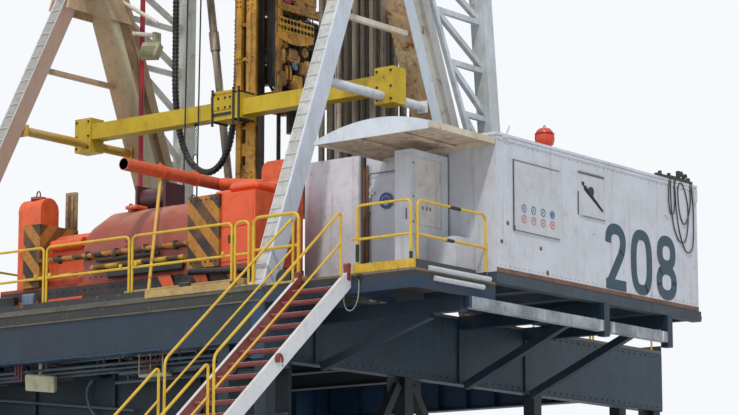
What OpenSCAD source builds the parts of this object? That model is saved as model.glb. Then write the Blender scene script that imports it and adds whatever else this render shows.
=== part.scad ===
// Land drilling rig with an A-frame mast, in millimetres.
// X runs along the front edge of the floor towards the crew cabin, Y away from the
// front edge and Z up. The origin is the centre of the rotary opening at floor level.

/* [Drill floor] */
// Height of the drill floor above the ground
floor_h = 8000; // [6000:100:8400]
// Half width of the drill floor
floor_half_w = 4600; // [4560:20:4800]
// Distance from the well centre to the front edge
floor_front = 6300; // [6300:50:6800]
// Distance from the well centre to the back edge
floor_back = 7000; // [6000:100:8000]
// Thickness of the deck plate
deck_t = 60; // [40:5:90]
// Depth of the dark band round the deck
band_h = 300; // [250:10:400]
// Height of the curb above the deck
curb_h = 110; // [80:10:160]
// Side of the square rotary opening
rotary_hole = 1300; // [1200:50:1500]

/* [Substructure] */
// Depth of the side girders
side_girder_h = 1250; // [1000:50:1500]
// Depth of the front and back girders
end_girder_h = 700; // [500:50:900]
// Width of the girder flanges
flange_w = 300; // [240:10:340]
// Thickness of girder flanges and webs
plate_t = 30; // [20:2:40]
// Height of the base boxes
base_h = 1000; // [700:50:1300]
// Width of each base box
base_w = 1200; // [900:50:1500]
// Side of the square posts
post_w = 260; // [200:10:300]
// Side of the diagonal braces
brace_w = 160; // [100:10:200]

/* [A-frame] */
// Height of the apex above the floor
apex_h = 7900; // [7400:50:8300]
// Distance of each front leg's foot from the floor's edge
front_leg_inset = 80; // [60:10:120]
// Width of a front leg
front_leg_w = 310; // [260:10:360]
// Depth of a front leg
front_leg_d = 390; // [300:10:450]
// Outer half spread of the back legs
back_leg_x = 4070; // [4000:10:4080]
// Width of the front box of a back leg
back_leg_w = 480; // [400:10:520]
// Full depth of a back leg
back_leg_d = 900; // [800:20:960]
// Diameter of the round struts
strut_d = 200; // [200:10:300]
// Height of the lower struts
strut_low_z = 4180; // [3800:20:4300]
// Height of the upper struts
strut_high_z = 5560; // [5300:20:5800]
// Depth of the yellow crossbeam
crossbeam_h = 330; // [300:10:520]
// Thickness of the yellow crossbeam
crossbeam_t = 340; // [260:10:400]

/* [Mast] */
// Height of the mast above the floor
mast_h = 30200; // [28000:100:30400]
// Outer half width of the mast at the floor
mast_x = 4480; // [4460:10:4540]
// Inward lean of each side, in degrees
mast_taper = 2.4; // [2:0.1:2.8]
// Side of the leg section
chord_w = 330; // [260:10:360]
// Distance from the well centre to the back face of the mast
mast_back_y = 1560; // [1500:10:1700]
// Depth of the mast at its top
mast_top_d = 2200; // [2100:50:2500]
// Number of panels above the A-frame
mast_panels = 9; // [6:1:12]
// Width of a lacing bar
lacing_w = 130; // [90:5:160]

/* [Hoist] */
// Travel of the top drive
hoist_travel = 18000; // [12000:100:18000]
// Height of the bottom of the top drive frame at rest
drive_z = 4750; // [4700:50:5000]
// Height of the top drive frame
drive_h = 3300; // [2900:50:3500]
// Width of the guide column
guide_w = 520; // [440:10:600]
// Depth of the guide column
guide_d = 300; // [240:10:340]
// Diameter of the crown sheaves
sheave_d = 1200; // [900:50:1300]
// Diameter of the drilling line
line_d = 35; // [28:1:45]
// Length of a stand of drill pipe
stand_l = 18900; // [17000:100:19500]
// Diameter of the drill pipe
pipe_d = 127; // [101:1:140]

/* [Stairs] */
// Clear width of the stair between its stringers
stair_w = 1010; // [800:10:1050]
// Distance from the floor's side to the stair
stair_gap = 780; // [300:10:900]
// Slope of the stair, in degrees
stair_slope = 40.5; // [38:0.5:45]
// Number of treads
tread_n = 33; // [30:1:40]
// Depth of a tread
tread_d = 230; // [200:5:260]
// Height of the handrails
rail_h = 1200; // [1000:10:1300]
// Diameter of the rail tube
rail_d = 48; // [42:1:60]

/* [Cabin] */
// Length of the cabin
cabin_l = 6900; // [6000:100:7200]
// Width of the cabin
cabin_w = 2900; // [2600:50:3000]
// Height of the cabin walls
cabin_h = 2450; // [2300:10:2600]
// Thickness of the cabin walls
wall_t = 80; // [60:5:120]
// Height of the cabin skid
skid_h = 200; // [160:10:260]
// Width of the doorway
door_w = 800; // [700:10:850]
// Height of the doorway
door_h = 2000; // [1900:10:2100]
// Distance from the well centre to the outer side wall
cabin_x = 7900; // [7800:20:8100]
// Depth of the landing in front of the cabin
landing_d = 2400; // [2200:50:2500]

/* [Hidden] */

// Running gap between pieces that don't touch on the real rig
gap = 5;
// Seat between two pieces that rest on each other
seat = 0.3;
ground_z = -floor_h;
front_y = -floor_front;

// Levels below the deck
girder_top = -deck_t;
side_girder_bottom = girder_top - side_girder_h;
end_girder_top = girder_top - band_h + deck_t;
end_girder_bottom = end_girder_top - end_girder_h;
base_top = ground_z + base_h;

// Slopes of the A-frame legs, from their feet to the apex
front_leg_foot_y = front_y + 60;
front_leg_run = 3630;
front_leg_dx = 530;
back_leg_foot_y = 1030;
back_leg_run = 3260;
apex_plate_h = 1000;
front_leg_slope = front_leg_run / apex_h;
back_leg_slope = back_leg_run / apex_h;

// Mast lines
mast_back_slope = 0.04;
mast_near_z = apex_h + 320;
mast_near_y = front_leg_foot_y + front_leg_run - 100;
mast_tan = tan(mast_taper);

// Cabin box
cabin_y0 = front_y + landing_d;
cabin_x0 = cabin_x - cabin_w;
front_leg_x = floor_half_w - front_leg_inset;
cabin_z0 = skid_h;
roof_z = cabin_z0 + cabin_h;
roof_t = 50;
roof_over = 20;
landing_x1 = cabin_x - 20;
door_x0 = cabin_x0 + 160;

stair_x0 = floor_half_w + stair_gap;
stair_stringer_w = 70;
stair_stringer_h = 260;

guide_y = -1350;

// Box between two corners
module box(p, q) {
    translate(p) cube(q - p);
}

// Rectangular bar from p to q, w in the plane that holds its slope, h across it
module bar(p, q, w, h) {
    v = q - p;
    l = norm(v);
    translate(p) rotate([0, acos(v.z / l), atan2(v.y, v.x)])
        translate([-w / 2, -h / 2, 0]) cube([w, h, l]);
}

// Leg from p to q whose section stays level: two crossed profiles give its true faces
module leaning(p, q, w, d) {
    x0 = min(p.x, q.x) - w;
    y0 = min(p.y, q.y) - d;
    intersection() {
        translate([x0, 0, 0]) rotate([90, 0, 90]) linear_extrude(abs(q.x - p.x) + 2 * w)
            polygon([[p.y - d / 2, p.z], [p.y + d / 2, p.z], [q.y + d / 2, q.z], [q.y - d / 2, q.z]]);
        translate([0, y0 + abs(q.y - p.y) + 2 * d, 0]) rotate([90, 0, 0]) linear_extrude(abs(q.y - p.y) + 2 * d)
            polygon([[p.x - w / 2, p.z], [p.x + w / 2, p.z], [q.x + w / 2, q.z], [q.x - w / 2, q.z]]);
    }
}

// Round bar from p to q
module rod(p, q, d, sides = 24) {
    v = q - p;
    l = norm(v);
    translate(p) rotate([0, acos(v.z / l), atan2(v.y, v.x)])
        cylinder(d = d, h = l, $fn = sides);
}

function unit(v) = v / norm(v);
function turn(a, b, c) = let (u = unit(b - a), v = unit(c - b)) atan2(u.x * v.y - u.y * v.x, u * v);

// Round tube along flat points in the XY plane, with bends of one radius
module tube_run(pts, d, r, sides = 24) {
    last = len(pts) - 1;
    cuts = [for (i = [0 : last])
        i == 0 || i == last ? 0 : r * tan(abs(turn(pts[i - 1], pts[i], pts[i + 1])) / 2)];
    for (i = [0 : last - 1]) {
        u = unit(pts[i + 1] - pts[i]);
        a = pts[i] + u * cuts[i];
        b = pts[i + 1] - u * cuts[i + 1];
        translate([a.x, a.y, 0]) rotate([0, 90, atan2(u.y, u.x)])
            cylinder(d = d, h = norm(b - a), $fn = sides);
    }
    for (i = [1 : last - 1]) {
        t = turn(pts[i - 1], pts[i], pts[i + 1]);
        u = unit(pts[i] - pts[i - 1]);
        side = sign(t);
        centre = pts[i] - u * cuts[i] + side * r * [-u.y, u.x];
        start = atan2(u.y, u.x) - side * 90;
        translate([centre.x, centre.y, 0]) rotate([0, 0, side > 0 ? start : start + t])
            rotate_extrude(angle = abs(t), $fn = 48) translate([r, 0]) circle(d = d, $fn = sides);
    }
}

// The same, standing in the vertical plane through p that faces the azimuth az
module upright_run(p, az, pts, d, r, sides = 24)
    translate(p) rotate([90, 0, az]) tube_run(pts, d, r, sides);

// I section along X, its top at z and its centre at y
module i_beam_x(x0, x1, y, z, h, w, t) {
    box([x0, y - w / 2, z - t], [x1, y + w / 2, z]);
    box([x0, y - t / 2, z - h + t], [x1, y + t / 2, z - t]);
    box([x0, y - w / 2, z - h], [x1, y + w / 2, z - h + t]);
}

// I section along Y, its top at z and its centre at x
module i_beam_y(y0, y1, x, z, h, w, t) {
    box([x - w / 2, y0, z - t], [x + w / 2, y1, z]);
    box([x - t / 2, y0, z - h + t], [x + t / 2, y1, z - t]);
    box([x - w / 2, y0, z - h], [x + w / 2, y1, z - h + t]);
}

// Two copies, mirrored across the well centre
module both_sides() {
    children();
    mirror([1, 0, 0]) children();
}

girder_x = floor_half_w - flange_w / 2;
stiffener_step = 750;
stiffener_t = 16;

module side_girders() color("#1d3a48") both_sides() {
    i_beam_y(front_y, floor_back, girder_x, girder_top, side_girder_h, flange_w, plate_t);
    n = floor((floor_back - front_y) / stiffener_step);
    for (i = [0 : n]) {
        y = front_y + i * (floor_back - front_y - stiffener_t) / n;
        box([girder_x - flange_w / 2, y, side_girder_bottom + plate_t],
            [girder_x + flange_w / 2, y + stiffener_t, girder_top - plate_t]);
    }
}

end_girder_x = girder_x - flange_w / 2;
end_girder_inset = flange_w / 2 + 20;

module end_girder(y) {
    i_beam_x(-end_girder_x, end_girder_x, y, end_girder_top, end_girder_h, flange_w, plate_t);
    n = floor(2 * end_girder_x / stiffener_step);
    for (i = [0 : n]) {
        x = -end_girder_x + i * (2 * end_girder_x - stiffener_t) / n;
        box([x, y - flange_w / 2, end_girder_bottom + plate_t],
            [x + stiffener_t, y + flange_w / 2, end_girder_top - plate_t]);
    }
}

module end_girders() color("#1d3a48") {
    end_girder(front_y + end_girder_inset);
    end_girder(floor_back - end_girder_inset);
}

floor_beam_h = 600;
floor_beam_ys = [-3600, -1000, 1000, 3600];

module floor_beams() color("#1b3440")
    for (y = floor_beam_ys)
        i_beam_x(-end_girder_x, end_girder_x, y, girder_top, floor_beam_h, 260, plate_t);

module drill_floor() color("#4b4f4e") difference() {
    box([-floor_half_w, front_y, -deck_t], [floor_half_w, floor_back, 0]);
    box([-rotary_hole / 2, -rotary_hole / 2, -deck_t - 1], [rotary_hole / 2, rotary_hole / 2, 1]);
}

band_t = 20;

// Deck band and curb along the front and back edges
module floor_curb() color("#6d6a5c") {
    for (y = [front_y, floor_back - band_t])
        box([-end_girder_x, y, end_girder_top], [end_girder_x, y + band_t, -deck_t]);
    box([-floor_half_w, front_y, 0], [front_leg_x - 2 * front_leg_w, front_y + 50, curb_h]);
    box([-floor_half_w, floor_back - 50, 0], [floor_half_w, floor_back, curb_h]);
    box([-floor_half_w, front_y + 900, 0], [-floor_half_w + 50, floor_back - 50, curb_h]);
}

rotary_bore = 350;
rotary_top = 40;

module rotary_table() color("#8a2f22") difference() {
    union() {
        box([-rotary_hole / 2 + gap, -rotary_hole / 2 + gap, -420], [rotary_hole / 2 - gap, rotary_hole / 2 - gap, 0]);
        translate([0, 0, seat]) cylinder(r = rotary_hole / 2 + 90, h = rotary_top - seat, $fn = 96);
        cylinder(r = rotary_hole / 2 - gap, h = rotary_top, $fn = 96);
    }
    translate([0, 0, -421]) cylinder(r = rotary_bore, h = 422 + rotary_top, $fn = 64);
}

// Setback of a base box's side plates from its flange edges
base_inset = 100;

module base_box(side) color("#22414f") {
    x1 = side * floor_half_w;
    x0 = side * (floor_half_w - base_w);
    xa = min(x0, x1);
    xb = max(x0, x1);
    box([xa, front_y, ground_z], [xb, floor_back, ground_z + 60]);
    box([xa, front_y, base_top - 60], [xb, floor_back, base_top]);
    for (x = [xa + base_inset, xb - base_inset - plate_t])
        box([x, front_y, ground_z + 60], [x + plate_t, floor_back, base_top - 60]);
    n = 8;
    for (i = [0 : n]) {
        y = front_y + i * (floor_back - front_y - 40) / n;
        box([xa, y, ground_z + 60], [xb, y + 40, base_top - 60]);
    }
}
module base_box_left() base_box(-1);
module base_box_right() base_box(1);

post_ys = [front_y + 200, -2050, 2250, floor_back - 200];
post_xs = [floor_half_w - base_w + post_w / 2 + 60, girder_x];

spreader_x = floor_half_w - base_w + base_inset - seat;

module base_spreaders() color("#22414f")
    for (y = [post_ys[0], post_ys[2], post_ys[3]])
        for (z = [ground_z + 180, base_top - 180])
            rod([-spreader_x, y, z], [spreader_x, y, z], 170);

module substructure_posts() color("#1b3440") both_sides() {
    for (y = post_ys)
        box([girder_x - post_w / 2, y - post_w / 2, base_top],
            [girder_x + post_w / 2, y + post_w / 2, side_girder_bottom]);
    for (y = [post_ys[0], post_ys[3]])
        box([post_xs[0] - post_w / 2, y - post_w / 2, base_top],
            [post_xs[0] + post_w / 2, y + post_w / 2, end_girder_bottom]);
}

brace_gap = post_w / 2 + brace_w * 0.6;
tie_z = (base_top + side_girder_bottom) / 2 - 900;
tie_h = 120;

module substructure_braces() color("#1b3440") both_sides() {
    for (i = [0 : 2]) {
        ya = post_ys[i] + brace_gap;
        yb = post_ys[i + 1] - brace_gap;
        face_a = post_ys[i] + post_w / 2 + seat;
        face_b = post_ys[i + 1] - post_w / 2 - seat;
        lo = base_top + 150;
        hi = side_girder_bottom - 150;
        up = i % 2 == 0;
        za = up ? lo : hi;
        zb = up ? hi : lo;
        bar([girder_x, ya, za], [girder_x, yb, zb], brace_w, brace_w);
        box([girder_x - 10, face_a, za - 140], [girder_x + 10, ya + 300, za + 140]);
        box([girder_x - 10, yb - 300, zb - 140], [girder_x + 10, face_b, zb + 140]);
        box([girder_x - tie_h / 2, face_a, tie_z - tie_h / 2], [girder_x + tie_h / 2, face_b, tie_z + tie_h / 2]);
    }
}

// Landing in front of the cabin, between the drill floor and the cabin's outer wall
module landing() color("#4b4f4e") {
    x0 = floor_half_w + seat;
    box([x0, front_y, -deck_t], [landing_x1, cabin_y0 - 20, 0]);
    for (x = [x0, (x0 + landing_x1) / 2, landing_x1 - 80])
        box([x, front_y + 90, -landing_h], [x + 80, cabin_y0 - 20, -deck_t]);
    box([x0, front_y, -landing_h], [landing_x1, front_y + 90, -deck_t]);
    box([stair_x0 + stair_w + 2 * stair_stringer_w + 40, front_y, 0],
        [landing_x1, front_y + 12, 150]);
    box([landing_x1 - 12, front_y + 12, 0], [landing_x1, cabin_y0 - 600, 150]);
}

bracket_ys = [front_y + 1500, cabin_y0 + 3500, cabin_y0 + 5750];
bracket_x1 = cabin_x + 40;
bracket_h = 260;
landing_h = 330;
outer_beam_w = 160;
outer_beam_h = 200;

// Outrigger brackets that carry the landing and the cabin
module cabin_brackets() color("#1d3a48") {
    for (i = [0 : 2]) {
        y = bracket_ys[i];
        top = i == 0 ? -landing_h - seat : -seat;
        x1 = i == 0 ? bracket_x1 - 100 : bracket_x1;
        box([floor_half_w + seat, y - 90, top - bracket_h], [x1, y + 90, top]);
        if (i > 0) box([bracket_x1 - outer_beam_w, y - 90, -620], [bracket_x1, y + 90, top - bracket_h]);
        bar([bracket_x1 - 800, y, top - bracket_h], [floor_half_w + 110, y, -1350], 150, 150);
        box([floor_half_w + seat, y - 120, side_girder_bottom + 40],
            [floor_half_w + 40, y + 120, top - 200]);
    }
    for (i = [0 : 1])
        box([bracket_x1 - outer_beam_w, bracket_ys[i], -landing_h - seat - outer_beam_h],
            [bracket_x1, bracket_ys[i + 1] - 90, -landing_h - seat]);
}

front_leg_top = apex_h - 380;

function front_leg_front_y(z) = front_leg_foot_y + front_leg_slope * z;
function front_leg_back_y(z) = front_leg_front_y(z) + front_leg_d;
function front_leg_cx(z) = front_leg_x - front_leg_w / 2 - front_leg_dx * z / apex_h;
function front_leg_pt(z) = [front_leg_cx(z), front_leg_front_y(z) + front_leg_d / 2, z];
function back_leg_front_y(z) = back_leg_foot_y - back_leg_slope * z;

// One front leg: a straight box that leans back and inwards from its foot
module front_leg() {
    leaning(front_leg_pt(0), front_leg_pt(front_leg_top), front_leg_w, front_leg_d);
    box([front_leg_x - front_leg_w - 20, front_leg_foot_y - 10, 0],
        [front_leg_x + 20, front_leg_foot_y + front_leg_d + 60, 60]);
}
module a_frame_front_legs() color("#d9dde2") both_sides() front_leg();

// One back leg: front box, recessed web and back flange
module back_leg() {
    h = apex_h - 330;
    dy = -back_leg_slope * h;
    front_box = 0.37 * back_leg_d;
    back_box = 0.29 * back_leg_d;
    module slab(y0, y1, x0, x1)
        translate([x0, back_leg_foot_y, 0]) rotate([90, 0, 90]) linear_extrude(x1 - x0)
            polygon([[y0, 30], [y1, 30], [y1 + dy, h], [y0 + dy, h]]);
    slab(0, front_box, back_leg_x - back_leg_w, back_leg_x);
    slab(front_box, back_leg_d - back_box, back_leg_x - back_leg_w + 80, back_leg_x - 80);
    slab(back_leg_d - back_box, back_leg_d, back_leg_x - back_leg_w + 30, back_leg_x);
    box([back_leg_x - back_leg_w - 30, back_leg_foot_y - 60, 0],
        [back_leg_x + 20, back_leg_foot_y + back_leg_d + 40, 60]);
}
module a_frame_back_legs() color("#cfc4b2") both_sides() back_leg();

// Strut between the two legs of one side
strut_x = back_leg_x - 120;

module strut(z) {
    x = strut_x;
    rod([x, front_leg_back_y(z + strut_d / 2) + seat, z],
        [x, back_leg_front_y(z + strut_d / 2) - seat, z], strut_d);
}
module a_frame_struts() color("#e6e6e2") both_sides() {
    strut(strut_low_z);
    strut(strut_high_z);
}

apex_y = front_leg_foot_y + front_leg_run + 150;
apex_x1 = back_leg_x;
apex_x0 = back_leg_x - back_leg_w;
apex_plate_t = 40;

// Plates and pin boss over each apex, and the beam that ties the two apexes
module a_frame_top() color("#cfc4b2") {
    both_sides() {
        for (x = [apex_x0 - apex_plate_t, apex_x1])
            translate([x, 0, 0]) rotate([90, 0, 90]) linear_extrude(apex_plate_t)
                polygon([[apex_y - 640, apex_h - apex_plate_h], [apex_y + 1350, apex_h - apex_plate_h],
                         [apex_y + 620, apex_h + 100], [apex_y - 280, apex_h + 100]]);
        translate([apex_x0 - apex_plate_t, apex_y + 70, apex_h - 130]) rotate([0, 90, 0])
            cylinder(d = 200, h = apex_x1 - apex_x0 + 2 * apex_plate_t + 60, $fn = 32);
    }
    box([-apex_x0 + apex_plate_t, apex_y - 250, apex_h - 620], [apex_x0 - apex_plate_t, apex_y + 150, apex_h - 200]);
}

rung_step = 300;

// Rungs across the front face of each front leg
module a_frame_ladders() color("#dfe3e6") both_sides() {
    n = floor((apex_h - 1700) / rung_step);
    half = front_leg_w / 2 - 20;
    for (i = [1 : n]) {
        z = i * rung_step + 500;
        x = front_leg_cx(z);
        y = front_leg_front_y(z - 12) - seat;
        for (s = [-1, 1])
            box([x + s * (half - 12) - 12, y - 75, z - 12], [x + s * (half - 12) + 12, y, z + 12]);
        box([x - half, y - 90, z - 12], [x + half, y - 65, z + 12]);
    }
}

crossbeam_y = guide_y - 540;
crossbeam_z = 4270;
clamp_half = 400;
end_plate_in = 160;
end_plate_out = 300;
end_plate_up = 560;

// Crossbeam between the two sides of the A-frame, with the clamp of the guide column
module torque_crossbeam() color("#c9a51f") {
    x = strut_x;
    half = strut_d / 2 + 60;
    difference() {
        union() {
            box([-x, crossbeam_y - crossbeam_t / 2, crossbeam_z],
                [x, crossbeam_y + crossbeam_t / 2, crossbeam_z + crossbeam_h]);
            both_sides() box([x - end_plate_in, crossbeam_y - crossbeam_t / 2 - 30, strut_low_z - half],
                [x + end_plate_out, crossbeam_y + crossbeam_t / 2 + 30, strut_low_z + end_plate_up]);
        }
        for (s = [-1, 1])
            rod([s * x, crossbeam_y - crossbeam_t, strut_low_z],
                [s * x, crossbeam_y + crossbeam_t, strut_low_z], strut_d + 2 * seat);
    }
    box([-clamp_half, crossbeam_y - crossbeam_t / 2 - 60, crossbeam_z - 60],
        [clamp_half, crossbeam_y + crossbeam_t / 2 + 60, crossbeam_z + crossbeam_h + 130]);
    box([-guide_w / 2, crossbeam_y + crossbeam_t / 2 + 60, crossbeam_z + 60],
        [guide_w / 2, guide_y - guide_d / 2 - seat, crossbeam_z + crossbeam_h - 60]);
}

near_w = 260;
panel = (mast_h - mast_near_z - 160) / mast_panels;
low_w = 100;
low_z = 2200;
low_panels = 6;

function mast_outer(z) = mast_x - mast_tan * z;
function mast_back(z) = mast_back_y - mast_back_slope * z;
function mast_near(z) = mast_near_y
    + (z - mast_near_z) / (mast_h - mast_near_z)
      * (mast_back(mast_h) - mast_top_d - mast_near_y);

// One tapered side of the mast: back leg, front chord above the A-frame and lacing
module mast_side() {
    function back_pt(z) = [mast_outer(z) - chord_w / 2, mast_back(z) - chord_w / 2, z];
    function near_pt(z) = [mast_outer(z) - chord_w / 2, mast_near(z) + near_w / 2, z];
    // Point on the slim chord that runs up behind the A-frame's back leg
    function low_pt(z) = [mast_outer(z) - chord_w / 2,
                          back_leg_front_y(z) + back_leg_d + 90 + low_w / 2, z];
    leaning(back_pt(20), back_pt(mast_h - 12), chord_w, chord_w);
    box([mast_outer(0) - chord_w - 5, mast_back(0) - chord_w - 20, 0],
        [mast_outer(0) + 30, mast_back(0) + 60, 40]);
    leaning(near_pt(mast_near_z), near_pt(mast_h - 12), near_w, near_w);
    foot = near_pt(mast_near_z);
    box([foot.x - near_w / 2 + 20, foot.y - near_w / 2 - 20, apex_h + 100 + seat],
        [foot.x + near_w / 2 + 20, foot.y + near_w / 2 + 20, mast_near_z + 30]);
    for (pt = [back_pt(mast_h), near_pt(mast_h)])
        box(pt - [near_w / 2, near_w / 2, 60], pt + [near_w / 2, near_w / 2, 0]);
    leaning(low_pt(low_z), low_pt(mast_near_z - 20), low_w, low_w);
    bar(near_pt(mast_near_z), back_pt(mast_near_z), lacing_w * 1.5, lacing_w);
    low_step = (mast_near_z - low_z) / low_panels;
    for (i = [0 : low_panels - 1]) {
        za = low_z + i * low_step;
        zb = za + low_step;
        bar(back_pt(za), low_pt(zb), lacing_w * 0.8, lacing_w * 0.8);
        if (i > 0) bar(back_pt(za), low_pt(za), lacing_w * 0.8, lacing_w * 0.8);
    }
    for (i = [0 : mast_panels - 1]) {
        za = mast_near_z + i * panel;
        zb = za + panel;
        bar(near_pt(zb), back_pt(zb), lacing_w, lacing_w);
        if (i % 2 == 0) bar(back_pt(za), near_pt(zb), lacing_w, lacing_w);
        else bar(near_pt(za), back_pt(zb), lacing_w, lacing_w);
    }
}
module mast_right_side() color("#e2ddd2") mast_side();
module mast_left_side() color("#d8cdb9") mirror([1, 0, 0]) mast_side();

// Bracing across the front of the mast, between the two front chords
function mid_y(z) = mast_near(z) + near_w / 2;
function near_inner(z) = mast_outer(z) - (chord_w + near_w) / 2 - seat;

module mast_front_bracing() color("#ddd5c6") {
    for (i = [0 : mast_panels]) {
        z = mast_near_z + i * panel;
        x = near_inner(z);
        lo = z - lacing_w * 0.6;
        hi = z + lacing_w * 0.6;
        translate([0, mid_y(z) + lacing_w / 2, 0]) rotate([90, 0, 0]) linear_extrude(lacing_w)
            polygon([[-near_inner(lo), lo], [near_inner(lo), lo], [near_inner(hi), hi], [-near_inner(hi), hi]]);
        // Bracket that holds the guide column
        box([-120, mid_y(z) + lacing_w / 2 - 1, z - 60], [120, guide_y - guide_d / 2 - seat, z + 60]);
        if (i < mast_panels) {
            zn = z + panel;
            for (s = [-1, 1])
                bar([s * (x - 90), mid_y(z), z], [0, mid_y(zn), zn], lacing_w, lacing_w);
        }
    }
}

crown_h = 500;
crown_z = mast_h;
sheave_n = 4;
sheave_t = 90;
sheave_step = 160;
sheave_z = crown_z + crown_h - 180;
crown_shaft_d = 180;
block_shaft_d = 160;
cheek_x = 900;
cheek_t = 120;

module crown_frame() color("#e2ddd2") {
    x = mast_outer(mast_h) + 60;
    y0 = mast_near(mast_h) - 60;
    y1 = sheave_d / 2 + 340;
    difference() {
        union() {
            for (y = [y0, y1 - 300]) box([-x, y, crown_z], [x, y + 300, crown_z + crown_h]);
            for (s = [-1, 1]) {
                box([s * x - (s > 0 ? 300 : 0), y0 + 300, crown_z],
                    [s * x + (s > 0 ? 0 : 300), y1 - 300, crown_z + crown_h]);
                box([s * cheek_x - cheek_t / 2, y0 + 300, crown_z],
                    [s * cheek_x + cheek_t / 2, y1 - 300, crown_z + crown_h]);
            }
        }
        translate([-cheek_x - cheek_t, 0, sheave_z]) rotate([0, 90, 0])
            cylinder(d = crown_shaft_d + 2 * seat, h = 2 * (cheek_x + cheek_t), $fn = 48);
    }
}

// Grooved sheave on its shaft's axis
module sheave(d, bore) rotate([0, 90, 0]) rotate_extrude($fn = 64)
    polygon([[bore, -sheave_t / 2], [d / 2, -sheave_t / 2], [d / 2 - groove, -12],
             [d / 2 - groove, 12], [d / 2, sheave_t / 2], [bore, sheave_t / 2]]);

groove = 60;
line_y = sheave_d / 2 - groove + line_d / 2 + seat;

// Row of sheaves with their shaft, which joins them into one piece
module sheave_row(z, shaft_d, shaft_half) {
    for (i = [0 : sheave_n - 1])
        translate([(i - (sheave_n - 1) / 2) * sheave_step, 0, z]) sheave(sheave_d, shaft_d / 2 - 5);
    translate([-shaft_half, 0, z]) rotate([0, 90, 0]) cylinder(d = shaft_d, h = 2 * shaft_half, $fn = 48);
}

module crown_sheaves() color("#7c7466") sheave_row(sheave_z, crown_shaft_d, cheek_x + cheek_t / 2);

board_z = stand_l - 1900;
board_t = 110;

// Racking board: its fingers lie between the rows of stands
module racking_board() color("#c9a51f") {
    x1 = mast_outer(board_z) - chord_w - near_w / 2;
    finger_x1 = rack_x + (rack_nx - 1) * rack_step_x + 180;
    for (j = [0 : rack_ny])
        box([rack_x - 150, rack_y + (j - 0.5) * rack_step_y - 40, board_z],
            [finger_x1, rack_y + (j - 0.5) * rack_step_y + 40, board_z + board_t]);
    box([finger_x1, rack_y - rack_step_y / 2 - 40, board_z - 60],
        [x1, rack_y + (rack_ny - 0.5) * rack_step_y + 40, board_z + board_t]);
    box([rack_x - 800, rack_y - rack_step_y / 2 - 700, board_z],
        [x1, rack_y - rack_step_y / 2 - 40, board_z + board_t]);
    // Brackets to the front and back chords of the mast
    box([x1 - 120, mid_y(board_z) - 100, board_z],
        [near_inner(board_z + board_t), rack_y - rack_step_y / 2 - 690, board_z + board_t]);
    box([x1 - 120, rack_y + (rack_ny - 0.5) * rack_step_y + 30, board_z],
        [mast_outer(board_z + board_t) - chord_w - seat, mast_back(board_z) - chord_w / 2, board_z + board_t]);
}

rack_x = 1720;
rack_y = -1150;
rack_nx = 7;
rack_ny = 5;
rack_step_x = 215;
rack_step_y = 330;

module pipe_stands() color("#7d756c")
    for (i = [0 : rack_nx - 1]) for (j = [0 : rack_ny - 1])
        translate([rack_x + i * rack_step_x, rack_y + j * rack_step_y, 0])
            cylinder(d = pipe_d, h = stand_l, $fn = 8);

slot_w = 120;
slot_h = 420;
slot_step = 640;
guide_z0 = 1700;

// Guide column of the top drive, with its row of slots
module guide_column() color("#b98a1e") difference() {
    box([-guide_w / 2, guide_y - guide_d / 2, guide_z0], [guide_w / 2, guide_y + guide_d / 2, mast_h - 200]);
    n = floor((mast_h - 400 - guide_z0) / slot_step);
    for (i = [0 : n - 1])
        box([-slot_w / 2 - 60, guide_y - guide_d / 2 - 1, guide_z0 + 200 + i * slot_step],
            [slot_w / 2 - 60, guide_y - guide_d / 2 + 60, guide_z0 + 200 + slot_h + i * slot_step]);
}

drive_y0 = guide_y + guide_d / 2 + 40;
drive_half = 600;

// Top drive: carriage on the guide column, motor, gearbox and quill
module top_drive() color("#b98a1e") {
    z = drive_z;
    box([-drive_half, drive_y0, z], [drive_half, drive_y0 + 200, z + drive_h]);
    for (s = [-1, 1])
        box([s * (drive_half - 50) - 50, drive_y0, z], [s * (drive_half - 50) + 50, 420, z + drive_h]);
    box([-430, -700, z + 900], [430, 480, z + 1900]);
    box([-430, drive_y0 + 200, z + 1100], [430, -700, z + 1700]);
    translate([0, 0, z + 1900]) cylinder(d = 760, h = 700, $fn = 48);
    upright_run([0, standpipe_y, 0], 0,
        [[hose_x1, hose_end_z], [hose_x1, hose_end_z + 300], [-drive_half + 40, hose_end_z + 300]], 100, 120);
    translate([0, 0, z - 500]) cylinder(d = 240, h = 1400, $fn = 32);
    translate([0, 0, z + 100]) cylinder(d = 620, h = 500, $fn = 32);
}

module drive_guard() color("#d6a821")
    box([drive_half + seat, -1150, drive_z + 1300], [drive_half + 25, -50, drive_z + 1750]);

link_l = 2300;
link_x = 365;

// Links and elevator under the top drive
mouse_foot = [-780, -560, 0];
mouse_lean = 8.1;
mouse_l = 9450;
mouse_d = 168;
mouse_sleeve_d = 300;

// Joint of pipe that stands in the inclined mousehole
module mousehole_pipe() color("#77736c") {
    translate(mouse_foot + [0, 0, 60]) rotate([0, -mouse_lean, 0]) {
        cylinder(d = mouse_d, h = mouse_l, $fn = 32);
        translate([0, 0, 6150]) cylinder(d = mouse_d + 46, h = 420, $fn = 32);
        cylinder(d = mouse_sleeve_d - 40, h = 420, $fn = 32);
    }
    translate(mouse_foot + [-30, 0, seat]) cylinder(d = mouse_sleeve_d + 120, h = 160, $fn = 32);
}

module drive_links() color("#555555") {
    for (s = [-1, 1])
        rod([s * link_x, 0, drive_z + 700], [s * link_x, 0, drive_z + 150 - link_l], 90);
    for (s = [-1, 1])
        box([s * (link_x + 5) - 60, -60, drive_z + 640], [s * (link_x + 5) + 60, 60, drive_z + 900 - seat]);
    box([-link_x - 65, -180, drive_z - link_l], [link_x + 65, 180, drive_z + 250 - link_l]);
}

block_z = drive_z + drive_h;
block_axis_z = block_z + 1000;

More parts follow.
